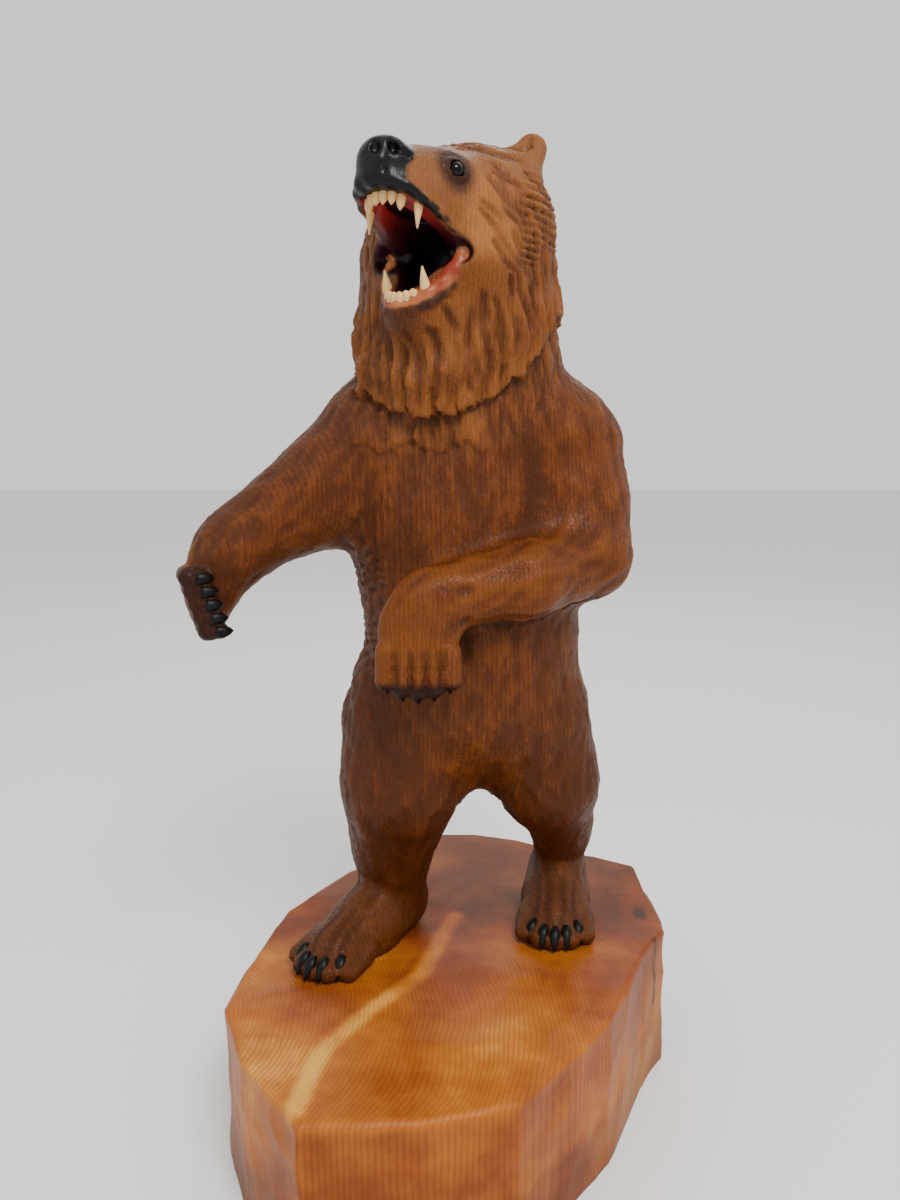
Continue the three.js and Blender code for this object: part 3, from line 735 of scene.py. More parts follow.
@dataclass(frozen=True)
class RuffSteps:
    """The ragged lower edge of the ruff, its strands, and the serrated edge behind the face."""

    axis: tuple = (12.0, 44.0)
    lowest: float = 667.0
    lowest_turn: float = math.radians(-111.0)
    highest: float = 780.0
    lift: float = 6.5
    undercut: float = 4.5
    fade: float = 46.0
    second_drop: float = 27.0  # how far the second step lies below the first
    strand_count: float = 38.0
    strand: float = 2.5
    notch: float = 9.5  # distance between two notches
    notch_depth: float = 4.0

    def raise_by(self, places: Points, shares: dict) -> np.ndarray:
        """Height that each vertex is raised by, less than zero where it is cut in."""
        x, y, z = places[:, 0] - self.axis[0], places[:, 1] - self.axis[1], places[:, 2]
        turn = np.arctan2(y, x)
        away = 1.0 - np.cos(turn - self.lowest_turn)
        edge = self.edge(turn, away)
        total = self.step(z, edge, self.lift, self.fade, self.undercut) * (1.0 - 0.5 * ramp(away, 0.7, 1.5))
        second = self.lowest - self.second_drop + 6.0 * np.sin(11.0 * turn) + 3.0 * np.sin(29.0 * turn)
        total += self.step(z, second, 2.4, 22.0, 1.8) * ramp(away, 0.35, 0.12)
        strands = np.sin(
            self.strand_count * turn + 2.6 * np.sin(z / 31.0) + 0.9 * np.sin(z / 13.0 + 5.0 * turn)
        )
        begins, ends = ramp(z, edge, edge + 12.0), ramp(z, edge + 150.0, edge + 40.0)
        total += self.strand * strands * begins * ends * shares[Region.RUFF]
        return total - self.notches(x, y, z, shares)

    def edge(self, turn: np.ndarray, away: np.ndarray) -> np.ndarray:
        """Height of the ruff's ragged lower edge, lowest over the chest."""
        edge = np.minimum(self.lowest + 75.0 * away + 40.0 * away * away, self.highest)
        scallops = 11.0 * np.abs(np.sin(8.0 * turn + 0.6)) ** 0.7
        return edge + (scallops + 4.0 * np.sin(23.0 * turn + 1.5 * np.sin(7.0 * turn)))

    def notches(self, x: np.ndarray, y: np.ndarray, z: np.ndarray, shares: dict) -> np.ndarray:
        """Depth of the notches behind the face, on the bear's left."""
        behind = 4.0 * shares[Region.HEAD] * (1.0 - shares[Region.HEAD])
        wave = np.sin(2.0 * math.pi * (z + 0.12 * y + 3.0 * np.sin(z / 17.0)) / self.notch)
        side = ramp(x, 62.0, 80.0) * ramp(z, 832.0, 850.0) * ramp(z, 962.0, 940.0)
        side *= ramp(y, 30.0, 10.0) * (0.8 + 0.3 * np.sin(z / 9.0 + 1.0))
        return self.notch_depth * np.clip(0.3 + wave, 0.0, 1.3) * ramp(behind, 0.35, 0.9) * side

    def step(self, z: np.ndarray, edge: np.ndarray, lift: float, fade: float, cut: float) -> np.ndarray:
        """Raised above an edge and cut in just below it."""
        over = z - edge
        above = lift * np.exp(-np.maximum(over, 0.0) / fade) * (over > 0)
        return above - cut * np.exp(np.minimum(over, 0.0) / 9.0) * (over <= 0)


@dataclass
class Tooling:
    """Short cuts of a gouge all over the fur, laid in the direction in which it grows."""

    figure: Figure
    seed: int = 7
    turn: float = 0.22
    broad: Gouge = Gouge(46, 9, 3.0, 0.8)
    furrows: tuple = (
        Furrow(
            ((188, -22, 452), (150, -42, 448), (100, -66, 442), (56, -78, 441), (26, -84, 441)),
            10.0,
            14.0,
        ),
        Furrow(((26, -84, 444), (22, -88, 412), (20, -90, 380)), 8.0, 7.0),
        Furrow(((80, -34, 676), (98, -40, 630), (104, -40, 590), (96, -50, 548), (60, -70, 524)), 21.0, 4.5),
        Furrow(((-92, -20, 566), (-84, -22, 520), (-86, -20, 470)), 7.0, 3.5),
        Furrow(((-118, 6, 540), (-104, -18, 556), (-84, -36, 574)), 7.0, 4.0),
    )
    gouges: dict = field(
        default_factory=lambda: {
            Region.TRUNK: Gouge(26, 4.4, 1.9, 1.2),
            Region.RUFF: Gouge(48, 5.6, 4.4, 1.4),
            Region.HEAD: Gouge(15, 2.2, 0.4, 0.7),
            Region.RIGHT_ARM: Gouge(24, 4.0, 1.6, 1.1),
            Region.LEFT_ARM: Gouge(26, 4.2, 1.9, 1.2),
            Region.FOREARM: Gouge(22, 3.6, 1.1, 0.9),
            Region.LEGS: Gouge(26, 4.4, 1.9, 1.2),
            Region.FEET: Gouge(22, 3.4, 1.1),
            Region.HANDS: Gouge(16, 2.8, 0.7),
        }
    )

    def between_toes(self) -> list:
        """A furrow between each two toes of the left hand and of both feet."""
        figure = self.figure
        rows = []
        for gap in (-1.5, -0.5, 0.5, 1.5):
            hand = figure.left_hand
            line = (hand.at(40, 18 * gap, 30), hand.at(66, 18 * gap, 28), hand.at(88, 18 * gap, 16))
            rows.append(Furrow(line, 5.5, 3.0))
            for foot, length in zip(figure.feet, figure.foot_lengths):
                ball = length - 44
                line = (
                    foot.at(ball - 34, 13 * gap, 52),
                    foot.at(ball, 17 * gap, 44),
                    foot.at(ball + 40, 20 * gap, 18),
                )
                rows.append(Furrow(line, 5.0, 3.5))
        return rows

    def shares(self, places: Points) -> dict:
        """How much each place belongs to each region, as weights that sum to one."""
        rows = {}
        for region, forms in self.figure.groups.items():
            rows[region] = np.exp(-np.maximum(nearest(forms, places), 0.0) / 5.0)
        total = np.maximum(sum(rows.values()), 1e-9)
        return {region: row / total for region, row in rows.items()}

    def flow(self, places: Points, normals: Points) -> Points:
        """Direction in which the fur lies at each place, along the surface."""
        head, left, right = self.figure.head, self.figure.left_hand, self.figure.right_hand
        down = np.array([0.0, 0.0, -1.0])
        total = np.zeros_like(places)
        for region, forms in self.figure.groups.items():
            for form in forms:
                weight = np.exp(-np.maximum(form.distance(places), 0.0) / 6.0)[:, None]
                line = down
                if region is Region.HEAD:
                    line = -head.axes[0] - 0.35 * head.axes[2]
                elif region is Region.HANDS:
                    line = left.axes[0] if form.reach()[0][0] > -120 else right.axes[0] * 0.3 + down
                elif region in (Region.RIGHT_ARM, Region.FOREARM) and isinstance(form, Limb):
                    line = unit(np.asarray(form.end, float) - np.asarray(form.start, float)) + 0.25 * down
                elif region is Region.FEET:
                    foot = self.figure.feet[0 if form.reach()[0][0] < 40 else 1]
                    line = foot.axes[0] + 0.3 * down
                total += weight * line
        total -= (total * normals).sum(1, keepdims=True) * normals
        return unit(total)

    def cut(self, places: Points, normals: Points, areas: np.ndarray, mask: np.ndarray) -> np.ndarray:
        """Works out how deep the cuts are at each vertex.

        Args:
            places: Vertices in figure units.
            normals: Their outward normals.
            areas: Area that each vertex stands for.
            mask: How much of the tooling each vertex takes, 0 to 1.

        Returns:
            The depth of the deepest cut at each vertex, in figure units.
        """
        random = np.random.default_rng(self.seed)
        shares = self.shares(places)
        flow = self.flow(places, normals)
        tree = kdtree.KDTree(len(places))
        for number, place in enumerate(places):
            tree.insert(place, number)
        tree.balance()
        depth = np.zeros(len(places))
        for furrow in (*self.furrows, *self.between_toes()):
            depth = np.maximum(depth, furrow.cut(self.figure, places))
        smooth = (Region.HEAD, Region.HANDS, Region.FEET, Region.RUFF)
        rows = [(region, self.broad) for region in self.gouges if region not in smooth]
        rows += list(self.gouges.items())
        for region, gouge in rows:
            area = areas * shares[region] * mask
            count = int(gouge.cover * area.sum() / (gouge.length * gouge.half_width))
            if count == 0:
                continue
            seeds = random.choice(len(places), size=count, p=area / area.sum())
            turns = random.normal(0.0, self.turn, count)
            sizes = random.uniform(0.65, 1.3, (count, 2))
            for number, turn, (stretch, bite) in zip(seeds, turns, sizes):
                along, out = flow[number], normals[number]
                across = np.cross(out, along)
                along, across = (
                    math.cos(turn) * along + math.sin(turn) * across,
                    math.cos(turn) * across - math.sin(turn) * along,
                )
                length = gouge.length * stretch
                found = np.array([row[1] for row in tree.find_range(places[number], length / 2.0)])
                offset = places[found] - places[number]
                forward, sideways = offset @ along / length + 0.5, offset @ across / gouge.half_width
                hollow = np.clip(1.0 - sideways * sideways, 0.0, 1.0)
                hollow *= np.clip(np.sin(math.pi * np.clip(forward, 0.0, 1.0)), 0.0, 1.0) ** 0.5
                hollow *= 1.1 - 0.6 * forward
                depth[found] = np.maximum(depth[found], gouge.depth * bite * hollow * mask[found])
        return depth


# Finishes


def linear(code: str) -> tuple:
    """Turns an sRGB hex colour into linear red, green, blue and alpha."""
    shares = [int(code[i : i + 2], 16) / 255.0 for i in (1, 3, 5)]
    return (*(v / 12.92 if v <= 0.04045 else ((v + 0.055) / 1.055) ** 2.4 for v in shares), 1.0)


def node(
    tree: bpy.types.NodeTree,
    kind: str,
    values: Optional[dict] = None,
    links: Optional[dict] = None,
    **settings: object,
) -> bpy.types.Node:
    """Adds a node to a tree.

    Args:
        tree: The tree that it joins.
        kind: Blender's name for the node's type.
        values: Values of its sockets, by socket.
        links: Sources of its sockets, by socket.
        **settings: The node's own settings.

    Returns:
        The new node.
    """
    made = tree.nodes.new(kind)
    for name, setting in settings.items():
        setattr(made, name, setting)
    for socket, value in (values or {}).items():
        made.inputs[socket].default_value = value
    for socket, source in (links or {}).items():
        tree.links.new(source, made.inputs[socket])
    return made


def new_material(name: str) -> tuple:
    """Makes a material and returns it with its node tree and its Principled shader."""
    material = bpy.data.materials.new(name)
    material.use_nodes = True
    tree = material.node_tree
    return material, tree, next(n for n in tree.nodes if n.type == "BSDF_PRINCIPLED")


def colour_ramp(
    tree: bpy.types.NodeTree, source: bpy.types.NodeSocket, stops: Sequence
) -> bpy.types.NodeSocket:
    """A colour ramp over a source, with stops of place and hex colour."""
    ramp_node = node(tree, "ShaderNodeValToRGB", links={0: source})
    elements = ramp_node.color_ramp.elements
    while len(elements) < len(stops):
        elements.new(0.5)
    for element, (place, code) in zip(elements, stops):
        element.position = place
        element.color = linear(code)
    return ramp_node.outputs[0]


def blend_colours(
    tree: bpy.types.NodeTree, share: object, first: object, second: object, mode: str = "MIX"
) -> bpy.types.NodeSocket:
    """Mixes two colours, each given as a socket or a hex code, by a share that is a socket or a number."""
    mix = tree.nodes.new("ShaderNodeMix")
    mix.data_type = "RGBA"
    mix.blend_type = mode
    for place, value in ((0, share), (6, first), (7, second)):
        if isinstance(value, str):
            mix.inputs[place].default_value = linear(value)
        elif isinstance(value, (int, float)):
            mix.inputs[place].default_value = value
        else:
            tree.links.new(value, mix.inputs[place])
    return mix.outputs[2]


def calc(tree: bpy.types.NodeTree, operation: str, *values: object) -> bpy.types.NodeSocket:
    """Does arithmetic on sockets and numbers."""
    made = tree.nodes.new("ShaderNodeMath")
    made.operation = operation
    for place, value in enumerate(values):
        if isinstance(value, (int, float)):
            made.inputs[place].default_value = value
        else:
            tree.links.new(value, made.inputs[place])
    return made.outputs[0]


def attribute(tree: bpy.types.NodeTree, name: str) -> bpy.types.NodeSocket:
    """Reads a piece's own number at each vertex."""
    return node(tree, "ShaderNodeAttribute", attribute_name=name).outputs["Fac"]


@dataclass(frozen=True)
class Rings:
    """Growth rings of the log: their spacing, and where its pith lies seen from above."""

    spacing_mm: float = 3.3
    pith_mm: tuple = (-240.0, -110.0)
    lengthways: float = 6.0  # the rings wander this much more slowly along the log than across it
    wander: float = 16.0

    def add(self, tree: bpy.types.NodeTree, place: bpy.types.NodeSocket) -> bpy.types.NodeSocket:
        """Adds the rings to a node tree and returns a share that is 1 in the dark late wood of each ring."""
        centre = (self.pith_mm[0] / 1000.0, self.pith_mm[1] / 1000.0, 0.0)
        laid = {"Location": centre, "Scale": (1.0, 1.0, self.lengthways)}
        moved = node(tree, "ShaderNodeMapping", laid, {"Vector": place}, vector_type="TEXTURE")
        wave_scale = 2.0 * math.pi / (20.0 * self.spacing_mm / 1000.0)
        rings = node(
            tree,
            "ShaderNodeTexWave",
            {
                "Scale": wave_scale,
                "Distortion": self.wander,
                "Detail": 1.0,
                "Detail Scale": 0.16,
                "Detail Roughness": 0.4,
            },
            {"Vector": moved.outputs[0]},
            wave_type="RINGS",
            rings_direction="Z",
            wave_profile="SIN",
        )
        return calc(tree, "POWER", rings.outputs["Fac"], 3.0)


@dataclass(frozen=True)
class StainedPine:
    """Carved pine under an oiled brown stain: dark in every cut and lighter on what stands proud, partly from
    the stain and wear and partly as painted shade and light of the relief.

    The stain gives the eye a soft brown that gathers in the cuts, with the log's rings just showing
    through. Painted shade also darkens the cuts, the eye sockets, the jaw below the mouth and the back
    of the mouth. The paint of the nose, lips and gums lies over it with a little more gloss. Real fibres
    are finer than the render can show, so the fleck is drawn at the width of a gouge's finest tear.
    """

    hair_mm: tuple = (1.1, 1.1, 9.0)
    blotch_mm: float = 41.7
    blotch_share: float = 0.15
    fleck_share: float = 0.035
    ring_share: float = -0.045
    groove_share: float = 0.15
    roughness: float = 0.42
    wet_gloss: float = -0.12
    shine: float = 0.16
    dark: str = "#220B02"
    brown: str = "#4A2106"
    warm: str = "#7E4413"
    light: str = "#B0773A"

    def make(self) -> bpy.types.Material:
        """Builds the material."""
        material, tree, shader = new_material("stained_pine_carved")
        place = node(tree, "ShaderNodeTexCoord").outputs["Object"]
        rings = Rings().add(tree, place)
        hair_scale = tuple(size / 1000.0 for size in self.hair_mm)
        laid = {"Scale": hair_scale}
        upright = node(tree, "ShaderNodeMapping", laid, {"Vector": place}, vector_type="TEXTURE")
        fibre = {"Scale": 1.0, "Detail": 3.0, "Distortion": 0.6}
        hair = node(tree, "ShaderNodeTexNoise", fibre, {"Vector": upright.outputs[0]})
        flecks = colour_ramp(tree, hair.outputs[0], ((0.42, "#000000"), (0.56, "#FFFFFF")))
        uneven = {"Scale": 1000.0 / self.blotch_mm, "Detail": 5.0, "Roughness": 0.6}
        blotch = node(tree, "ShaderNodeTexNoise", uneven, {"Vector": place})
        stain_and_shade, groove = attribute(tree, "stain_and_shade"), attribute(tree, "groove")
        around_middle = calc(tree, "SUBTRACT", blotch.outputs[0], 0.5)
        tone = calc(tree, "MULTIPLY_ADD", around_middle, self.blotch_share, stain_and_shade)
        tone = calc(tree, "MULTIPLY_ADD", calc(tree, "SUBTRACT", flecks, 0.6), self.fleck_share, tone)
        tone = calc(tree, "MULTIPLY_ADD", rings, self.ring_share, tone)
        # Cuts are darker and raised places lighter: partly stain, partly painted shade and light of the
        # relief.
        tone = calc(tree, "SUBTRACT", tone, calc(tree, "MULTIPLY", groove, self.groove_share))
        stops = ((0.0, self.dark), (0.34, self.brown), (0.62, self.warm), (0.92, self.light))
        wood = colour_ramp(tree, tone, stops)
        tan = colour_ramp(tree, tone, ((0.2, "#2E1A0F"), (0.8, "#96683F")))
        wood = blend_colours(tree, calc(tree, "MULTIPLY", attribute(tree, "foot"), 0.2), wood, "#2F1E11")
        wood = blend_colours(tree, calc(tree, "MULTIPLY", attribute(tree, "face"), 0.45), wood, tan)
        # The mouth's dark red paint goes to near black further back, as painted shade.
        stops = ((0.0, "#74191A"), (0.45, "#3A0A0D"), (1.0, "#100305"))
        deep = colour_ramp(tree, attribute(tree, "depth"), stops)
        wood = blend_colours(tree, attribute(tree, "mouth"), wood, deep)
        flesh = colour_ramp(tree, blotch.outputs[0], ((0.35, "#7A2E20"), (0.65, "#B27444")))
        wood = blend_colours(tree, attribute(tree, "gum"), wood, flesh)
        wood = blend_colours(tree, attribute(tree, "black"), wood, "#0F0E11")
        tree.links.new(wood, shader.inputs["Base Color"])
        shader.inputs["Specular IOR Level"].default_value = self.shine
        gloss = calc(tree, "MULTIPLY_ADD", attribute(tree, "wet"), self.wet_gloss, self.roughness)
        tree.links.new(gloss, shader.inputs["Roughness"])
        height = calc(tree, "MULTIPLY_ADD", rings, -0.1, flecks)
        relief = calc(tree, "MULTIPLY_ADD", attribute(tree, "wet"), -0.4, 0.5)
        bump = node(tree, "ShaderNodeBump", {"Distance": 0.001}, {"Height": height, "Strength": relief})
        tree.links.new(bump.outputs[0], shader.inputs["Normal"])
        return material


@dataclass(frozen=True)
class BarePine:
    """Bare softwood of the stump: orange-tan with ring lines, ground with a disc and lightly oiled.

    It gives the eye a warm, satin wood whose late wood draws thin lines. The knot, the split and a band
    towards the bottom are dark, and the top is darker behind the feet with the bear's painted shadow.
    """

    patch_mm: float = 90.9
    roughness: float = 0.45
    shine: float = 0.18

    def make(self) -> bpy.types.Material:
        """Builds the material."""
        material, tree, shader = new_material("bare_pine_stump")
        place = node(tree, "ShaderNodeTexCoord").outputs["Object"]
        rings = Rings().add(tree, place)
        uneven = {"Scale": 1000.0 / self.patch_mm, "Detail": 5.0, "Roughness": 0.6}
        blotch = node(tree, "ShaderNodeTexNoise", uneven, {"Vector": place})
        patches = calc(tree, "MULTIPLY_ADD", blotch.outputs[0], 1.3, -0.12)
        strength = calc(tree, "MULTIPLY_ADD", blotch.outputs[0], -0.2, 0.03)
        tone = calc(tree, "MULTIPLY_ADD", rings, strength, patches)
        tone = calc(tree, "ADD", tone, attribute(tree, "pale"))
        stops = ((0.1, "#4E1E06"), (0.38, "#7A380C"), (0.62, "#A05A18"), (0.9, "#CC923E"))
        wood = colour_ramp(tree, tone, stops)
        wood = blend_colours(tree, attribute(tree, "dark_band_and_marks"), wood, "#2A1A12")
        tree.links.new(wood, shader.inputs["Base Color"])
        shader.inputs["Roughness"].default_value = self.roughness
        shader.inputs["Specular IOR Level"].default_value = self.shine
        bump = node(tree, "ShaderNodeBump", {"Strength": 0.15, "Distance": 0.0006}, {"Height": rings})
        tree.links.new(bump.outputs[0], shader.inputs["Normal"])
        return material


@dataclass(frozen=True)
class Enamel:
    """A plain painted or glazed finish in one colour, whose gloss alone tells the eye what it is."""

    name: str
    colour: str
    roughness: float
    shine: float = 0.5

    def make(self) -> bpy.types.Material:
        """Builds the material."""
        material, _, shader = new_material(self.name)
        shader.inputs["Base Color"].default_value = linear(self.colour)
        shader.inputs["Roughness"].default_value = self.roughness
        shader.inputs["Specular IOR Level"].default_value = self.shine
        return material


# Teeth and claws


@dataclass(frozen=True)
class HornShape:
    """A horn of length one along z: half width and half depth at its root, its bend, and how blunt it is."""

    wide: float
    deep: float
    bend: float
    blunt: float
    square: float = 2.0
    waist: float = 0.0
    sides: int = 12
    rings: int = 7

    def build(self, name: str) -> bpy.types.Object:
        """Makes the closed shape as a mesh object."""
        places, faces = [], []
        for ring in range(self.rings):
            share = ring / (self.rings - 1)
            girth = (1.0 - share ** self.blunt) ** 0.8 if ring < self.rings - 1 else 0.12
            girth *= 1.0 - self.waist * max(1.0 - 3.0 * share, 0.0)
            for side in range(self.sides):
                angle = side / self.sides * 2.0 * math.pi
                c, s = math.cos(angle), math.sin(angle)
                round_off = (abs(c) ** self.square + abs(s) ** self.square) ** (-1.0 / self.square)
                sag = self.bend * share * share
                across, back = self.wide * girth * c * round_off, self.deep * girth * s * round_off
                places.append((across, sag + back, share))
        for ring in range(self.rings - 1):
            for side in range(self.sides):
                after = (side + 1) % self.sides
                low, high = ring * self.sides, (ring + 1) * self.sides
                faces.append((low + side, low + after, high + after, high + side))
        faces.append(tuple(reversed(range(self.sides))))
        faces.append(tuple((self.rings - 1) * self.sides + side for side in range(self.sides)))
        return mesh_object(name, np.array(places), faces)


@dataclass
class HornRow:
    """Horns of one shape at many places: each has a root, a tip, a hollow side and a thickness."""

    name: str
    shape: HornShape
    finish: bpy.types.Material
    roots: list = field(default_factory=list)
    turns: list = field(default_factory=list)
    sizes: list = field(default_factory=list)

    def put(self, root: Points, tip: Points, hollow: Points, thick: float = 1.0) -> None:
        """Adds one horn, in figure units."""
        line = np.asarray(tip, float) - np.asarray(root, float)
        length = float(np.linalg.norm(line))
        up = line / length
        back = np.asarray(hollow, float) - (np.asarray(hollow, float) @ up) * up
        back = back / np.linalg.norm(back)
        side = np.cross(back, up)
        turn = np.stack([side, back, up], 1)
        self.roots.append(on_plinth(np.asarray(root, float)[None])[0])
        self.turns.append(matrix_turn(turn))
        scale = SHARE / 1000.0
        self.sizes.append((thick * scale, thick * scale, length * scale))

    def tree(self, shape: bpy.types.Object) -> bpy.types.NodeTree:
        """Geometry Nodes that set the shape on every point with its own turn and size."""
        tree = bpy.data.node_groups.new(self.name + "_row", "GeometryNodeTree")
        tree.interface.new_socket("Geometry", in_out="INPUT", socket_type="NodeSocketGeometry")
        horn = tree.interface.new_socket("Horn", in_out="INPUT", socket_type="NodeSocketObject")
        finish = tree.interface.new_socket("Finish", in_out="INPUT", socket_type="NodeSocketMaterial")
        tree.interface.new_socket("Geometry", in_out="OUTPUT", socket_type="NodeSocketGeometry")
        entry = tree.nodes.new("NodeGroupInput")
        leave = tree.nodes.new("NodeGroupOutput")
        source = node(tree, "GeometryNodeObjectInfo", links={"Object": entry.outputs["Horn"]})
        turn = node(tree, "GeometryNodeInputNamedAttribute", {"Name": "turn"}, data_type="QUATERNION")
        size = node(tree, "GeometryNodeInputNamedAttribute", {"Name": "size"}, data_type="FLOAT_VECTOR")
        row = node(
            tree,
            "GeometryNodeInstanceOnPoints",
            links={
                "Points": entry.outputs["Geometry"],
                "Instance": source.outputs["Geometry"],
                "Rotation": turn.outputs[0],
                "Scale": size.outputs[0],
            },
        )
        solid = node(tree, "GeometryNodeRealizeInstances", links={"Geometry": row.outputs[0]})
        look = node(
            tree,
            "GeometryNodeSetMaterial",
            links={"Geometry": solid.outputs[0], "Material": entry.outputs["Finish"]},
        )
        tree.links.new(look.outputs[0], leave.inputs[0])
        self.inputs = {horn.identifier: shape, finish.identifier: self.finish}
        return tree

    def build(self) -> bpy.types.Object:
        """Makes the row as one plain mesh piece."""
        points = mesh_object(self.name + "_points", np.array(self.roots), [])
        turn = points.data.attributes.new("turn", "QUATERNION", "POINT")
        turn.data.foreach_set("value", np.array(self.turns, np.float32).ravel())
        size = points.data.attributes.new("size", "FLOAT_VECTOR", "POINT")
        size.data.foreach_set("vector", np.array(self.sizes, np.float32).ravel())
        shape = self.shape.build(self.name + "_shape")
        modifier = points.modifiers.new("row", "NODES")
        tree = self.tree(shape)
        modifier.node_group = tree
        for identifier, value in self.inputs.items():
            modifier[identifier] = value
        graph = bpy.context.evaluated_depsgraph_get()
        mesh = bpy.data.meshes.new_from_object(points.evaluated_get(graph))
        mesh.name = self.name
        piece = bpy.data.objects.new(self.name, mesh)
        bpy.context.scene.collection.objects.link(piece)
        for spare in (points, shape):
            bpy.data.objects.remove(spare)
        LOG.info("%s: %d horns, %d faces", self.name, len(self.roots), len(mesh.polygons))
        return piece


def matrix_turn(columns: Points) -> tuple:
    """The quaternion of a rotation that is given by its three axes as columns."""
    return tuple(Matrix(columns.tolist()).to_quaternion())


@dataclass(frozen=True)
class Arch:
    """The teeth of one jaw in its own frame: where their arch lies and how long they are, in figure units."""

    frame_of: Stance
    reach: float
    width: float
    gum: float
    shift: float
    up: int
    root: float
    incisor: float
    outer_longer: float
    canine: float
    cheek_teeth: int

    def tooth(self, row: HornRow, along: float, across: float, length: float, thick: float = 1.0) -> None:
        """Sets one tooth into the gum, its hollow side turned inwards."""
        root, tip = (
            self.frame_of.at(along, across + self.shift, self.gum + self.up * height)
            for height in (-self.root, length)
        )
        row.put(root, tip, -self.frame_of.axes[0], thick)

    def fill(self, fangs: HornRow, blocks: HornRow) -> None:
        """Adds six incisors, two canines and the cheek teeth behind them to the rows."""
        for step in (-2.5, -1.5, -0.5, 0.5, 1.5, 2.5):
            turn = 0.31 * step
            longer = self.outer_longer if abs(step) > 2 else 0.0
            along = self.reach - self.width * (1 - math.cos(turn))
            self.tooth(blocks, along, self.width * math.sin(turn), self.incisor + longer)
        for side in SIDES:
            self.tooth(fangs, self.reach - 0.75 * self.width, side * (self.width + 2), self.canine)
            for number in range(self.cheek_teeth):
                along = self.reach - 32 - 13 * number
                across = side * (self.width + 5 + 5 * number)
                self.tooth(blocks, along, across, self.incisor + 1 + 5 * number, 1.2)


@dataclass
class Mouth:
    """Teeth on the arch of each jaw. They are carved from the log and painted the colour of old ivory."""

    figure: Figure

    def build(self) -> list:
        """Makes the rows of teeth."""
        paint = Enamel("ivory_paint_on_pine_teeth", "#CDA468", 0.38).make()
        fangs = HornRow("canine_teeth", HornShape(7.0, 7.5, 4.0, 1.5), paint)
        blocks = HornRow("front_teeth", HornShape(5.4, 4.4, 1.0, 6.0, 4.0), paint)
        figure = self.figure
        upper = Arch(figure.head, 171, 32, -3, 0, -1, 8.0, 18, 4.5, 36, 0)
        lower = Arch(figure.jaw, 100, 25, 10, figure.jaw_shift, 1, 5.0, 7, 0.0, 26, 3)
        upper.fill(fangs, blocks)
        lower.fill(fangs, blocks)
        return [fangs.build(), blocks.build()]


@dataclass
class Claws:
    """Five black claws on each hand and foot. They are painted, with a dull gloss like horn."""

    figure: Figure
    foot_thick: float = 1.2
    hand_thick: float = 1.1
    fist_thick: float = 1.05

    def build(self) -> list:
        """Makes the claws of all four paws."""
        paint = Enamel("black_paint_on_pine_claws", "#0B0908", 0.42, 0.16).make()
        row = HornRow("claws", HornShape(6.8, 5.6, 4.0, 2.4, 2.0, 0.5), paint)
        stubs = HornRow("fist_claws", HornShape(7.4, 6.4, 4.0, 3.4), paint)
        figure, left = self.figure, self.figure.left_hand
        for toe in TOES:
            for foot, length in zip(figure.feet, figure.foot_lengths):
                reach = figure.toe_reach(length, toe) + 2
                root, tip = foot.at(reach - 6, toe * 14, 25), foot.at(reach + 17, toe * 17, 5)
                row.put(root, tip, -foot.axes[2], self.foot_thick)
            reach = figure.hand_reach(toe)
            root, tip = left.at(reach - 6, toe * 18, 13), left.at(reach + 18, toe * 18, 5)
            row.put(root, tip, -left.axes[2], self.hand_thick)
            root, tip = figure.curl_place(toe, 52, -5), figure.curl_place(toe, 50, 15)
            stubs.put(root, tip, -figure.right_hand.axes[0], self.fist_thick)
        return [row.build(), stubs.build()]


@dataclass
class GlassEyes:
    """Smooth glass balls in the drilled sockets, in place of the coarse solids."""

    fit: float = 0.998  # a hair under the solid's radius, so that the ball stays within it

    def build(self) -> list:
        """Makes one ball for each socket."""
        glass = Enamel("black_glass_eye", "#050302", 0.1, 0.2).make()
        made = []
        for name in ("right_eye", "left_eye"):
            low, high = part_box(name)
            work = bmesh.new()
            radius = (high.z - low.z) / 2.0 * self.fit
            bmesh.ops.create_uvsphere(work, u_segments=40, v_segments=24, radius=radius)
            bmesh.ops.translate(work, verts=work.verts, vec=(low + high) / 2.0)
            mesh = bpy.data.meshes.new(name + "_glass")
            work.to_mesh(mesh)
            work.free()
            mesh.polygons.foreach_set("use_smooth", [True] * len(mesh.polygons))
            mesh.materials.append(glass)
            ball = bpy.data.objects.new(name + "_glass", mesh)
            bpy.context.scene.collection.objects.link(ball)
            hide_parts(name)
            made.append(ball)
        return made


# The plinth


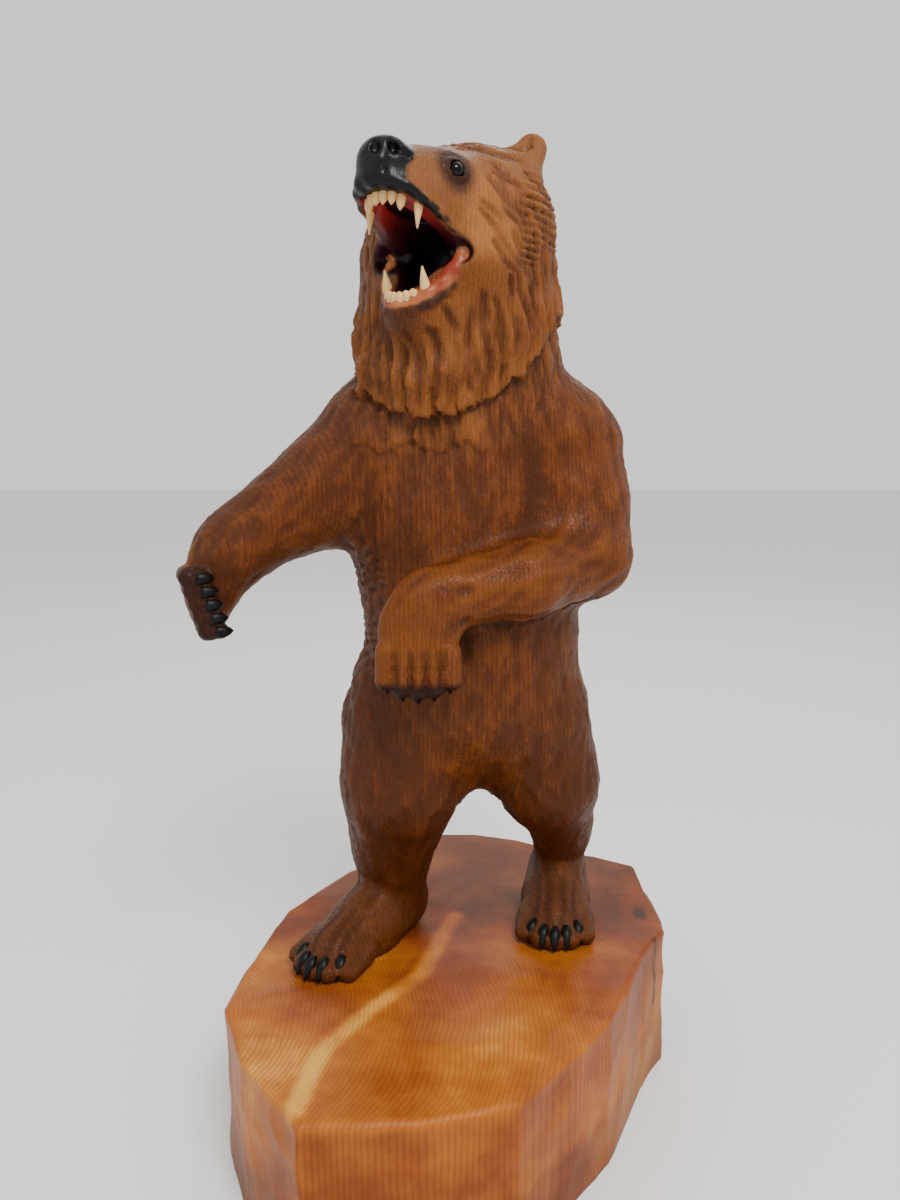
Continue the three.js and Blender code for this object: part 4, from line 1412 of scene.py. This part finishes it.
@dataclass
class Plinth:
    """The stump: a faceted block of the log whose top is worked down round the feet."""

    name: str = "log_plinth"
    # The corners of the facets, as shares of half the width and half the depth.
    corners: tuple = (
        (-0.59, -1),
        (-0.87, -0.69),
        (-1, -0.41),
        (-0.95, -0.02),
        (-0.87, 0.27),
        (-0.6, 0.62),
        (-0.12, 1),
        (0.1, 1),
        (0.48, 0.9),
        (0.97, 0.66),
        (1, 0.1),
        (0.85, -0.09),
        (0.63, -0.48),
        (0.21, -0.89),
        (-0.16, -0.99),
    )
    pitch: float = 2.9
    rows: int = 40
    rings: int = 64
    top_dishes: int = 44
    wall_dishes: int = 110
    crack: tuple = (156.0, 3.0)
    knot: tuple = (150.0, 50.0)
    knot_size: tuple = (7.0, 12.0)
    ridge: tuple = ((-4.0, 38.0), (-30.0, -52.0), (-65.0, -100.0), (-92.0, -147.0), (-101.0, -199.0))

    def outline(self) -> Points:
        """Evenly spaced places round the rim, in millimetres."""
        half = np.array([PLINTH_WIDTH / 2.0, PLINTH_DEPTH / 2.0])
        corners = np.array(self.corners) * half
        after = np.roll(corners, -1, 0)
        lengths = np.linalg.norm(after - corners, axis=1)
        ends = np.concatenate([[0.0], np.cumsum(lengths)])
        count = int(ends[-1] / self.pitch)
        places = []
        for step in range(count):
            at = step / count * ends[-1]
            side = min(int(np.searchsorted(ends, at, "right")) - 1, len(corners) - 1)
            places.append(corners[side] + (at - ends[side]) / lengths[side] * (after[side] - corners[side]))
        return np.array(places)

    def top(self, flat_places: Points, share: np.ndarray) -> np.ndarray:
        """Height of the worked top.

        Args:
            flat_places: Places seen from above, in millimetres.
            share: How far out each is, 0 in the middle to 1 at the rim.

        Returns:
            Heights in millimetres.
        """
        fall = RIM_DROP * np.clip((share - 0.7) / 0.27, 0.0, 1.0)
        hollow = 1.3 * self.dishes(flat_places, self.top_dishes, 11, (34.0, 66.0))
        return PLINTH_HEIGHT - fall - 0.2 - hollow * ramp(self.beside_ridge(flat_places), 1.0, 15.0)

    def beside_ridge(self, flat_places: Points) -> np.ndarray:
        """Distance from the ridge that the disc left between the hollows, seen from above."""
        gaps = []
        for start, end in zip(self.ridge, self.ridge[1:]):
            start, line = np.array(start), np.array(end) - np.array(start)
            along = np.clip((flat_places - start) @ line / (line @ line), 0.0, 1.0)
            gaps.append(np.linalg.norm(flat_places - start - along[:, None] * line, axis=1))
        return np.min(gaps, axis=0)

    def dishes(self, flat_places: Points, count: int, seed: int, size: tuple = (26.0, 50.0)) -> np.ndarray:
        """Depth of shallow hollows left by a grinding disc, which meet in soft ridges."""
        random = np.random.default_rng(seed)
        low, high = flat_places.min(0), flat_places.max(0)
        depth = np.zeros(len(flat_places))
        for _ in range(count):
            centre = random.uniform(low, high)
            radius, deep = random.uniform(*size), random.uniform(1.0, 3.2)
            gap = np.linalg.norm(flat_places - centre, axis=1) / radius
            depth = np.maximum(depth, deep * np.clip(1.0 - gap * gap, 0.0, 1.0))
        return depth

    def build(self) -> bpy.types.Object:
        """Makes the stump as a closed mesh, and its finish."""
        rim = self.outline()
        count = len(rim)
        walls, shares = self.walls(rim), self.shares()
        flat_places = np.concatenate([rim * share for share in shares] + [np.zeros((1, 2))])
        heights = self.top(flat_places, np.append(np.repeat(shares, count), 0.0))
        middle = [[0.0, 0.0, float(heights[-1])], [0.0, 0.0, 0.0]]
        worked = np.column_stack([flat_places, heights])[:-1]
        places = np.concatenate([*walls, worked, middle])
        faces = self.faces(len(walls) + len(shares), count, len(places))
        piece = mesh_object(self.name, places / 1000.0, faces)
        self.paint(piece, places)
        piece.data.materials.append(BarePine().make())
        LOG.info("%s: %d faces", self.name, len(faces))
        return piece

    def walls(self, rim: Points) -> list:
        """Rings of places up the wall, from the floor to the bevel, worked with the disc."""
        shoulder = PLINTH_HEIGHT - RIM_DROP - RIM_BEVEL
        heights = np.linspace(0.0, shoulder, self.rows)
        around = np.concatenate([[0.0], np.cumsum(np.linalg.norm(np.diff(rim, axis=0), axis=1))])
        wall = np.stack(np.meshgrid(around, heights), -1).reshape(-1, 2)
        hollows = self.dishes(wall, self.wall_dishes, 5, (18.0, 40.0)).reshape(self.rows, len(rim))
        reach = np.linalg.norm(rim, axis=1)
        return [
            np.column_stack([rim * (1.0 - hollow / reach)[:, None], np.full(len(rim), height)])
            for height, hollow in zip(heights, hollows)
        ]

    def shares(self) -> np.ndarray:
        """How far out the rings of the top lie, from the bevel inwards."""
        bevel = 1.0 - 2.0 * RIM_BEVEL / PLINTH_WIDTH
        return np.linspace(bevel, 0.0, self.rings)[:-1]

    def faces(self, rings: int, count: int, total: int) -> list:
        """Quads between the rings, and a fan of triangles over the top's middle and under the base."""
        made = []
        for row in range(rings - 1):
            for side in range(count):
                after = (side + 1) % count
                low, high = row * count, (row + 1) * count
                made.append((low + side, low + after, high + after, high + side))
        last = (rings - 1) * count
        for side in range(count):
            after = (side + 1) % count
            made.append((last + side, last + after, total - 2))
            made.append((after, side, total - 1))
        return made

    def paint(self, piece: bpy.types.Object, places: Points) -> None:
        """Stores how pale each place is, with the bear's shadow painted on the top behind its feet, and where
        the knot, the split and a band towards the bottom are dark.

        Args:
            piece: The stump.
            places: Its vertices, in millimetres.
        """
        x, y, z = places.T
        streak = ramp(self.beside_ridge(places[:, :2]), 11.0, 2.0) * ramp(z, 100.0, 108.0)
        top = ramp(z, 106.0, 112.0)
        # Painted shadow of the bear on the top, behind its feet.
        shade = top * ramp(y, -30.0, 40.0)
        set_attribute(piece, "pale", -0.08 + 0.1 * top + 0.26 * streak - 0.24 * shade)
        # A band towards the bottom is darker, below a wavy edge.
        band = 42.0 + 5.0 * np.sin(x / 21.0) + 3.0 * np.sin(x / 7.0 + y / 9.0)
        low_band = 0.3 * ramp(z, band + 4.0, band - 4.0)
        dark = 0.85 * np.maximum(self.split(places), self.knots(places))
        set_attribute(piece, "dark_band_and_marks", np.maximum(low_band, dark))

    def split(self, places: Points) -> np.ndarray:
        """The drying crack in the side on the bear's left, which wavers as it runs down the grain."""
        x, y, z = places.T
        waver = 1.6 * np.sin(z / 8.0) + 0.7 * np.sin(z / 3.1)
        gap = np.linalg.norm(places[:, :2] - np.array(self.crack), axis=1)
        beside = np.abs(gap * np.sign(y - self.crack[1]) - waver)
        return ramp(beside, 4.6, 2.0) * ramp(z, 44.0, 62.0) * (x > 120)

    def knots(self, places: Points) -> np.ndarray:
        """The dark knot in the top."""
        turned = (places[:, :2] - np.array(self.knot)) / np.array(self.knot_size)
        return ramp((turned * turned).sum(1), 1.2, 0.4) * ramp(places[:, 2], 100.0, 108.0)


# The room


@dataclass(frozen=True)
class Studio:
    """A pale floor, soft lamps and the camera where the photograph was taken from."""

    lens_mm: float = 31.2
    place_m: tuple = (-0.008, -0.7554, 0.5284)
    down_deg: float = 10.5
    aim_m: tuple = (0.0, 0.0, 0.4)
    # Each lamp's name, place in metres, power in watts and size in metres.
    lamps: tuple = (
        ("key", (0.45, -1.3, 1.9), 46.0, 0.7),
        ("fill", (-1.6, -1.0, 1.2), 4.0, 1.5),
        ("back", (0.2, 1.6, 1.7), 10.0, 1.2),
    )
    wall_colour: str = "#E6E5E2"
    wall_light: float = 1.3
    floor_half_m: float = 6.0

    def build(self) -> None:
        """Sets the camera, lamps, surroundings and floor."""
        camera = bpy.data.cameras.new("camera")
        camera.lens = self.lens_mm
        camera.sensor_width = 36.0
        camera.sensor_fit = "AUTO"
        camera.clip_start = 0.01
        holder = bpy.data.objects.new("camera", camera)
        holder.location = self.place_m
        holder.rotation_euler = (math.radians(90.0 - self.down_deg), 0.0, 0.0)
        bpy.context.scene.collection.objects.link(holder)
        bpy.context.scene.camera = holder
        for name, place, power, size in self.lamps:
            self.lamp(name, place, power, size)
        world = bpy.data.worlds.new("room")
        world.use_nodes = True
        background = world.node_tree.nodes["Background"]
        background.inputs[0].default_value = linear(self.wall_colour)
        background.inputs[1].default_value = self.wall_light
        bpy.context.scene.world = world
        half = self.floor_half_m
        places = np.array([[-half, -half, 0], [half, -half, 0], [half, half, 0], [-half, half, 0]])
        floor = mesh_object("floor", places, [(0, 1, 2, 3)])
        floor.data.materials.append(Enamel("pale_floor", "#EAE8E5", 0.8).make())

    def lamp(self, name: str, place: tuple, power: float, size: float) -> None:
        """Adds one soft square lamp that looks at the figure."""
        light = bpy.data.lights.new(name, "AREA")
        light.energy = power
        light.size = size
        holder = bpy.data.objects.new(name, light)
        holder.location = place
        aim = Vector(self.aim_m) - Vector(place)
        holder.rotation_euler = aim.to_track_quat("-Z", "Y").to_euler()
        bpy.context.scene.collection.objects.link(holder)


@dataclass(frozen=True)
class Face:
    """How far each place of the skin belongs to each painted or darkened part of the head, from 0 to 1."""

    inside: np.ndarray
    lips: np.ndarray
    low_lips: np.ndarray
    gums: np.ndarray
    black: np.ndarray
    lids: np.ndarray
    # Painted shade round each eye, strongest close to the socket.
    socket: np.ndarray

    @classmethod
    def measure(cls, figure: Figure, places: Points) -> "Face":
        """Measures every place against the mouth, lips, gums, nose and lids.

        Args:
            figure: The carved figure.
            places: Places on its skin, in figure units.

        Returns:
            The head's parts.
        """
        local = figure.head.local(places)
        edge = nearest(figure.mouth, places)
        inside = ramp(figure.uncut.distance(places), -0.5, -3.5) * ramp(edge, 14.0, 8.0)
        rim = 3.0 + 6.0 * ramp(local[:, 0], 138.0, 164.0)
        upper = ramp(local[:, 2], -46.0, -38.0) * ramp(local[:, 0], 70.0, 80.0)
        upper_lips = ramp(edge / rim, 1.0, 0.7) * upper * (1.0 - inside)
        lips = np.maximum(upper_lips, ramp(nearest(figure.lips, places), 2.0, 0.8))
        gums = ramp(nearest(figure.gums, places), 3.8, 1.6)
        nose = ramp(nearest(figure.nose, places), 6.0, 3.0)
        muzzle_end = ramp(local[:, 0] - 0.6 * np.abs(local[:, 1]), 146.0, 156.0)
        gaps = [np.linalg.norm(places - eye, axis=1) for eye in figure.eyes]
        return cls(
            inside=inside,
            lips=lips,
            low_lips=ramp(nearest(figure.jaw_lips, places), 2.6, 1.0),
            gums=gums,
            black=np.clip(np.maximum(lips, np.maximum(nose, muzzle_end)), 0.0, 1.0) * (1.0 - gums),
            lids=ramp(nearest(figure.lids, places), 3.0, 0.5),
            socket=np.max([ramp(gap, 34.0, 12.0) for gap in gaps], axis=0),
        )

    @property
    def soft(self) -> np.ndarray:
        """How far each place is spared by the gouge, 1 where no cut is made."""
        return np.clip(self.inside + self.black + self.gums + self.low_lips + self.lids, 0.0, 1.0)


@dataclass
class BearSkin:
    """Cuts the fur into the bear's mesh and stores on it what its finish reads."""

    figure: Figure
    # How light the stain is on each part, 0 dark to 1 pale, and by how much it is darker in places; the
    # socket, lid and chin amounts are painted shade.
    tones: tuple = (
        (Region.TRUNK, 0.46),
        (Region.RUFF, 0.53),
        (Region.HEAD, 0.7),
        (Region.RIGHT_ARM, 0.45),
        (Region.LEFT_ARM, 0.5),
        (Region.FOREARM, 0.5),
        (Region.LEGS, 0.39),
        (Region.FEET, 0.44),
        (Region.HANDS, 0.5),
    )
    # Painted shade in and round the eye sockets and on the lids.
    socket_shade: float = 0.36
    lid_shade: float = 0.4
    # Painted shade on the jaw below the corner of the mouth.
    chin_shade: float = 0.2
    muzzle_dark: float = 0.16
    crown_dark: float = 0.12
    tip_dark: float = 0.55
    fist_dark: float = 0.42
    fist_side: float = -120.0  # the right fist lies below this x, and the left hand above it
    hack_depth: float = 3.6

    def build(self) -> bpy.types.Object:
        """Makes the finished piece."""
        figure = self.figure
        piece = BearMesh(figure).build()
        places = off_plinth(places_of(piece))
        normals = unit(figure.clay.slope(places))
        areas = vertex_areas(piece)
        face = Face.measure(figure, places)
        tooling = Tooling(figure)
        depth = tooling.cut(places, normals, areas, 1.0 - face.soft)
        shares = tooling.shares(places)
        depth += self.flank_hacks(places, shares)
        rise = RuffSteps().raise_by(places, shares) * (1.0 - face.soft)
        put_places(piece, on_plinth(places + (rise - depth)[:, None] * normals))
        jaw_shade = self.shade_under_jaw(places, shares)
        set_attribute(piece, "stain_and_shade", self.stain_and_shade(places, shares, face, jaw_shade))
        # How deep each place is cut or how far it is raised: darkens cuts as stain and painted shade, and
        # lightens what stands proud.
        set_attribute(piece, "groove", np.clip((depth - 0.5 * rise) / 3.0, -0.4, 1.6))
        set_attribute(piece, "foot", shares[Region.FEET])
        # Painted shade under the jaw also takes the face's tan away there.
        set_attribute(piece, "face", shares[Region.HEAD] * (1.0 - 0.75 * jaw_shade) + 0.4 * shares[Region.RUFF])
        self.paint(piece, places, face)
        piece.data.materials.append(StainedPine().make())
        return piece

    def flank_hacks(self, places: Points, shares: dict) -> np.ndarray:
        """Depth of the chisel hacks across the grain of the right flank."""
        x, y, z = places.T
        flank = ramp(x, -66.0, -92.0) * ramp(z, 335.0, 365.0) * ramp(z, 545.0, 500.0)
        flank *= shares[Region.TRUNK]
        hacks = np.sin(z / 2.3 + y / 5.0 + 3.0 * np.sin(z / 13.0))
        hacks *= 0.6 + 0.5 * np.sin(z / 7.1 - y / 4.0)
        return flank * self.hack_depth * np.clip(0.35 + hacks, 0.0, 1.2)

    def shade_under_jaw(self, places: Points, shares: dict) -> np.ndarray:
        """How far each place of the head lies under the corner of the mouth, where the jaw gets painted
        shade.
        """
        corner = self.figure.head.at(72, 0, -42)[2]
        return ramp(places[:, 2], corner + 8.0, corner - 18.0) * shares[Region.HEAD]

    def stain_and_shade(self, places: Points, shares: dict, face: Face, jaw_shade: np.ndarray) -> np.ndarray:
        """How light the stain is at each place, less where shade is painted round the eyes and under the jaw.
        """
        figure, hands, x = self.figure, shares[Region.HANDS], places[:, 0]
        local = figure.head.local(places)
        stain_and_shade = sum(tone * shares[region] for region, tone in self.tones)
        # Painted shade round the eyes, on the lids and under the jaw.
        stain_and_shade -= self.socket_shade * face.socket + self.lid_shade * face.lids + self.chin_shade * jaw_shade
        muzzle, crown = ramp(local[:, 0], 80.0, 112.0), ramp(local[:, 2], 34.0, 62.0)
        stain_and_shade -= (self.muzzle_dark * muzzle + self.crown_dark * crown) * shares[Region.HEAD]
        tips = ramp(figure.left_hand.local(places)[:, 0], 73.0, 86.0) * hands * (x > self.fist_side)
        fist = ramp(figure.right_hand.local(places)[:, 0], 24.0, 40.0) * hands * (x < self.fist_side)
        stain_and_shade -= self.tip_dark * tips + self.fist_dark * fist
        return stain_and_shade

    def paint(self, piece: bpy.types.Object, places: Points, face: Face) -> None:
        """Stores where the mouth, gums, nose and lips are painted."""
        gums, inside, low_lips, black = face.gums, face.inside, face.low_lips, face.black
        set_attribute(piece, "mouth", inside * (1.0 - face.lips))
        # Painted shade: darker further back into the mouth.
        set_attribute(piece, "depth", ramp(self.figure.head.local(places)[:, 0], 150.0, 70.0))
        set_attribute(piece, "gum", np.maximum(gums, 0.8 * low_lips * (1.0 - gums) * inside))
        set_attribute(piece, "black", np.maximum(black, 0.7 * low_lips * (1.0 - inside)))
        set_attribute(piece, "wet", np.clip(black + gums + inside, 0.0, 1.0))


def vertex_areas(piece: bpy.types.Object) -> np.ndarray:
    """Area that each vertex stands for, in square figure units."""
    areas = np.zeros(len(piece.data.vertices))
    for face in piece.data.polygons:
        share = face.area / len(face.vertices)
        for corner in face.vertices:
            areas[corner] += share
    return areas * (1000.0 / SHARE) ** 2


def main() -> None:
    """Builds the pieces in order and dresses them."""
    logging.basicConfig(level=logging.INFO, format="%(name)s: %(message)s", stream=sys.stdout)
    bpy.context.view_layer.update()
    Studio().build()
    figure = Figure()
    figure.carve()
    bear = BearSkin(figure).build()
    plinth = Plinth().build()
    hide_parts("carved_bear")
    pieces = [bear, plinth, *Mouth(figure).build(), *Claws(figure).build()]
    pieces += GlassEyes().build()
    for piece in pieces:
        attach(piece, "root")


if __name__ == "__main__":
    main()
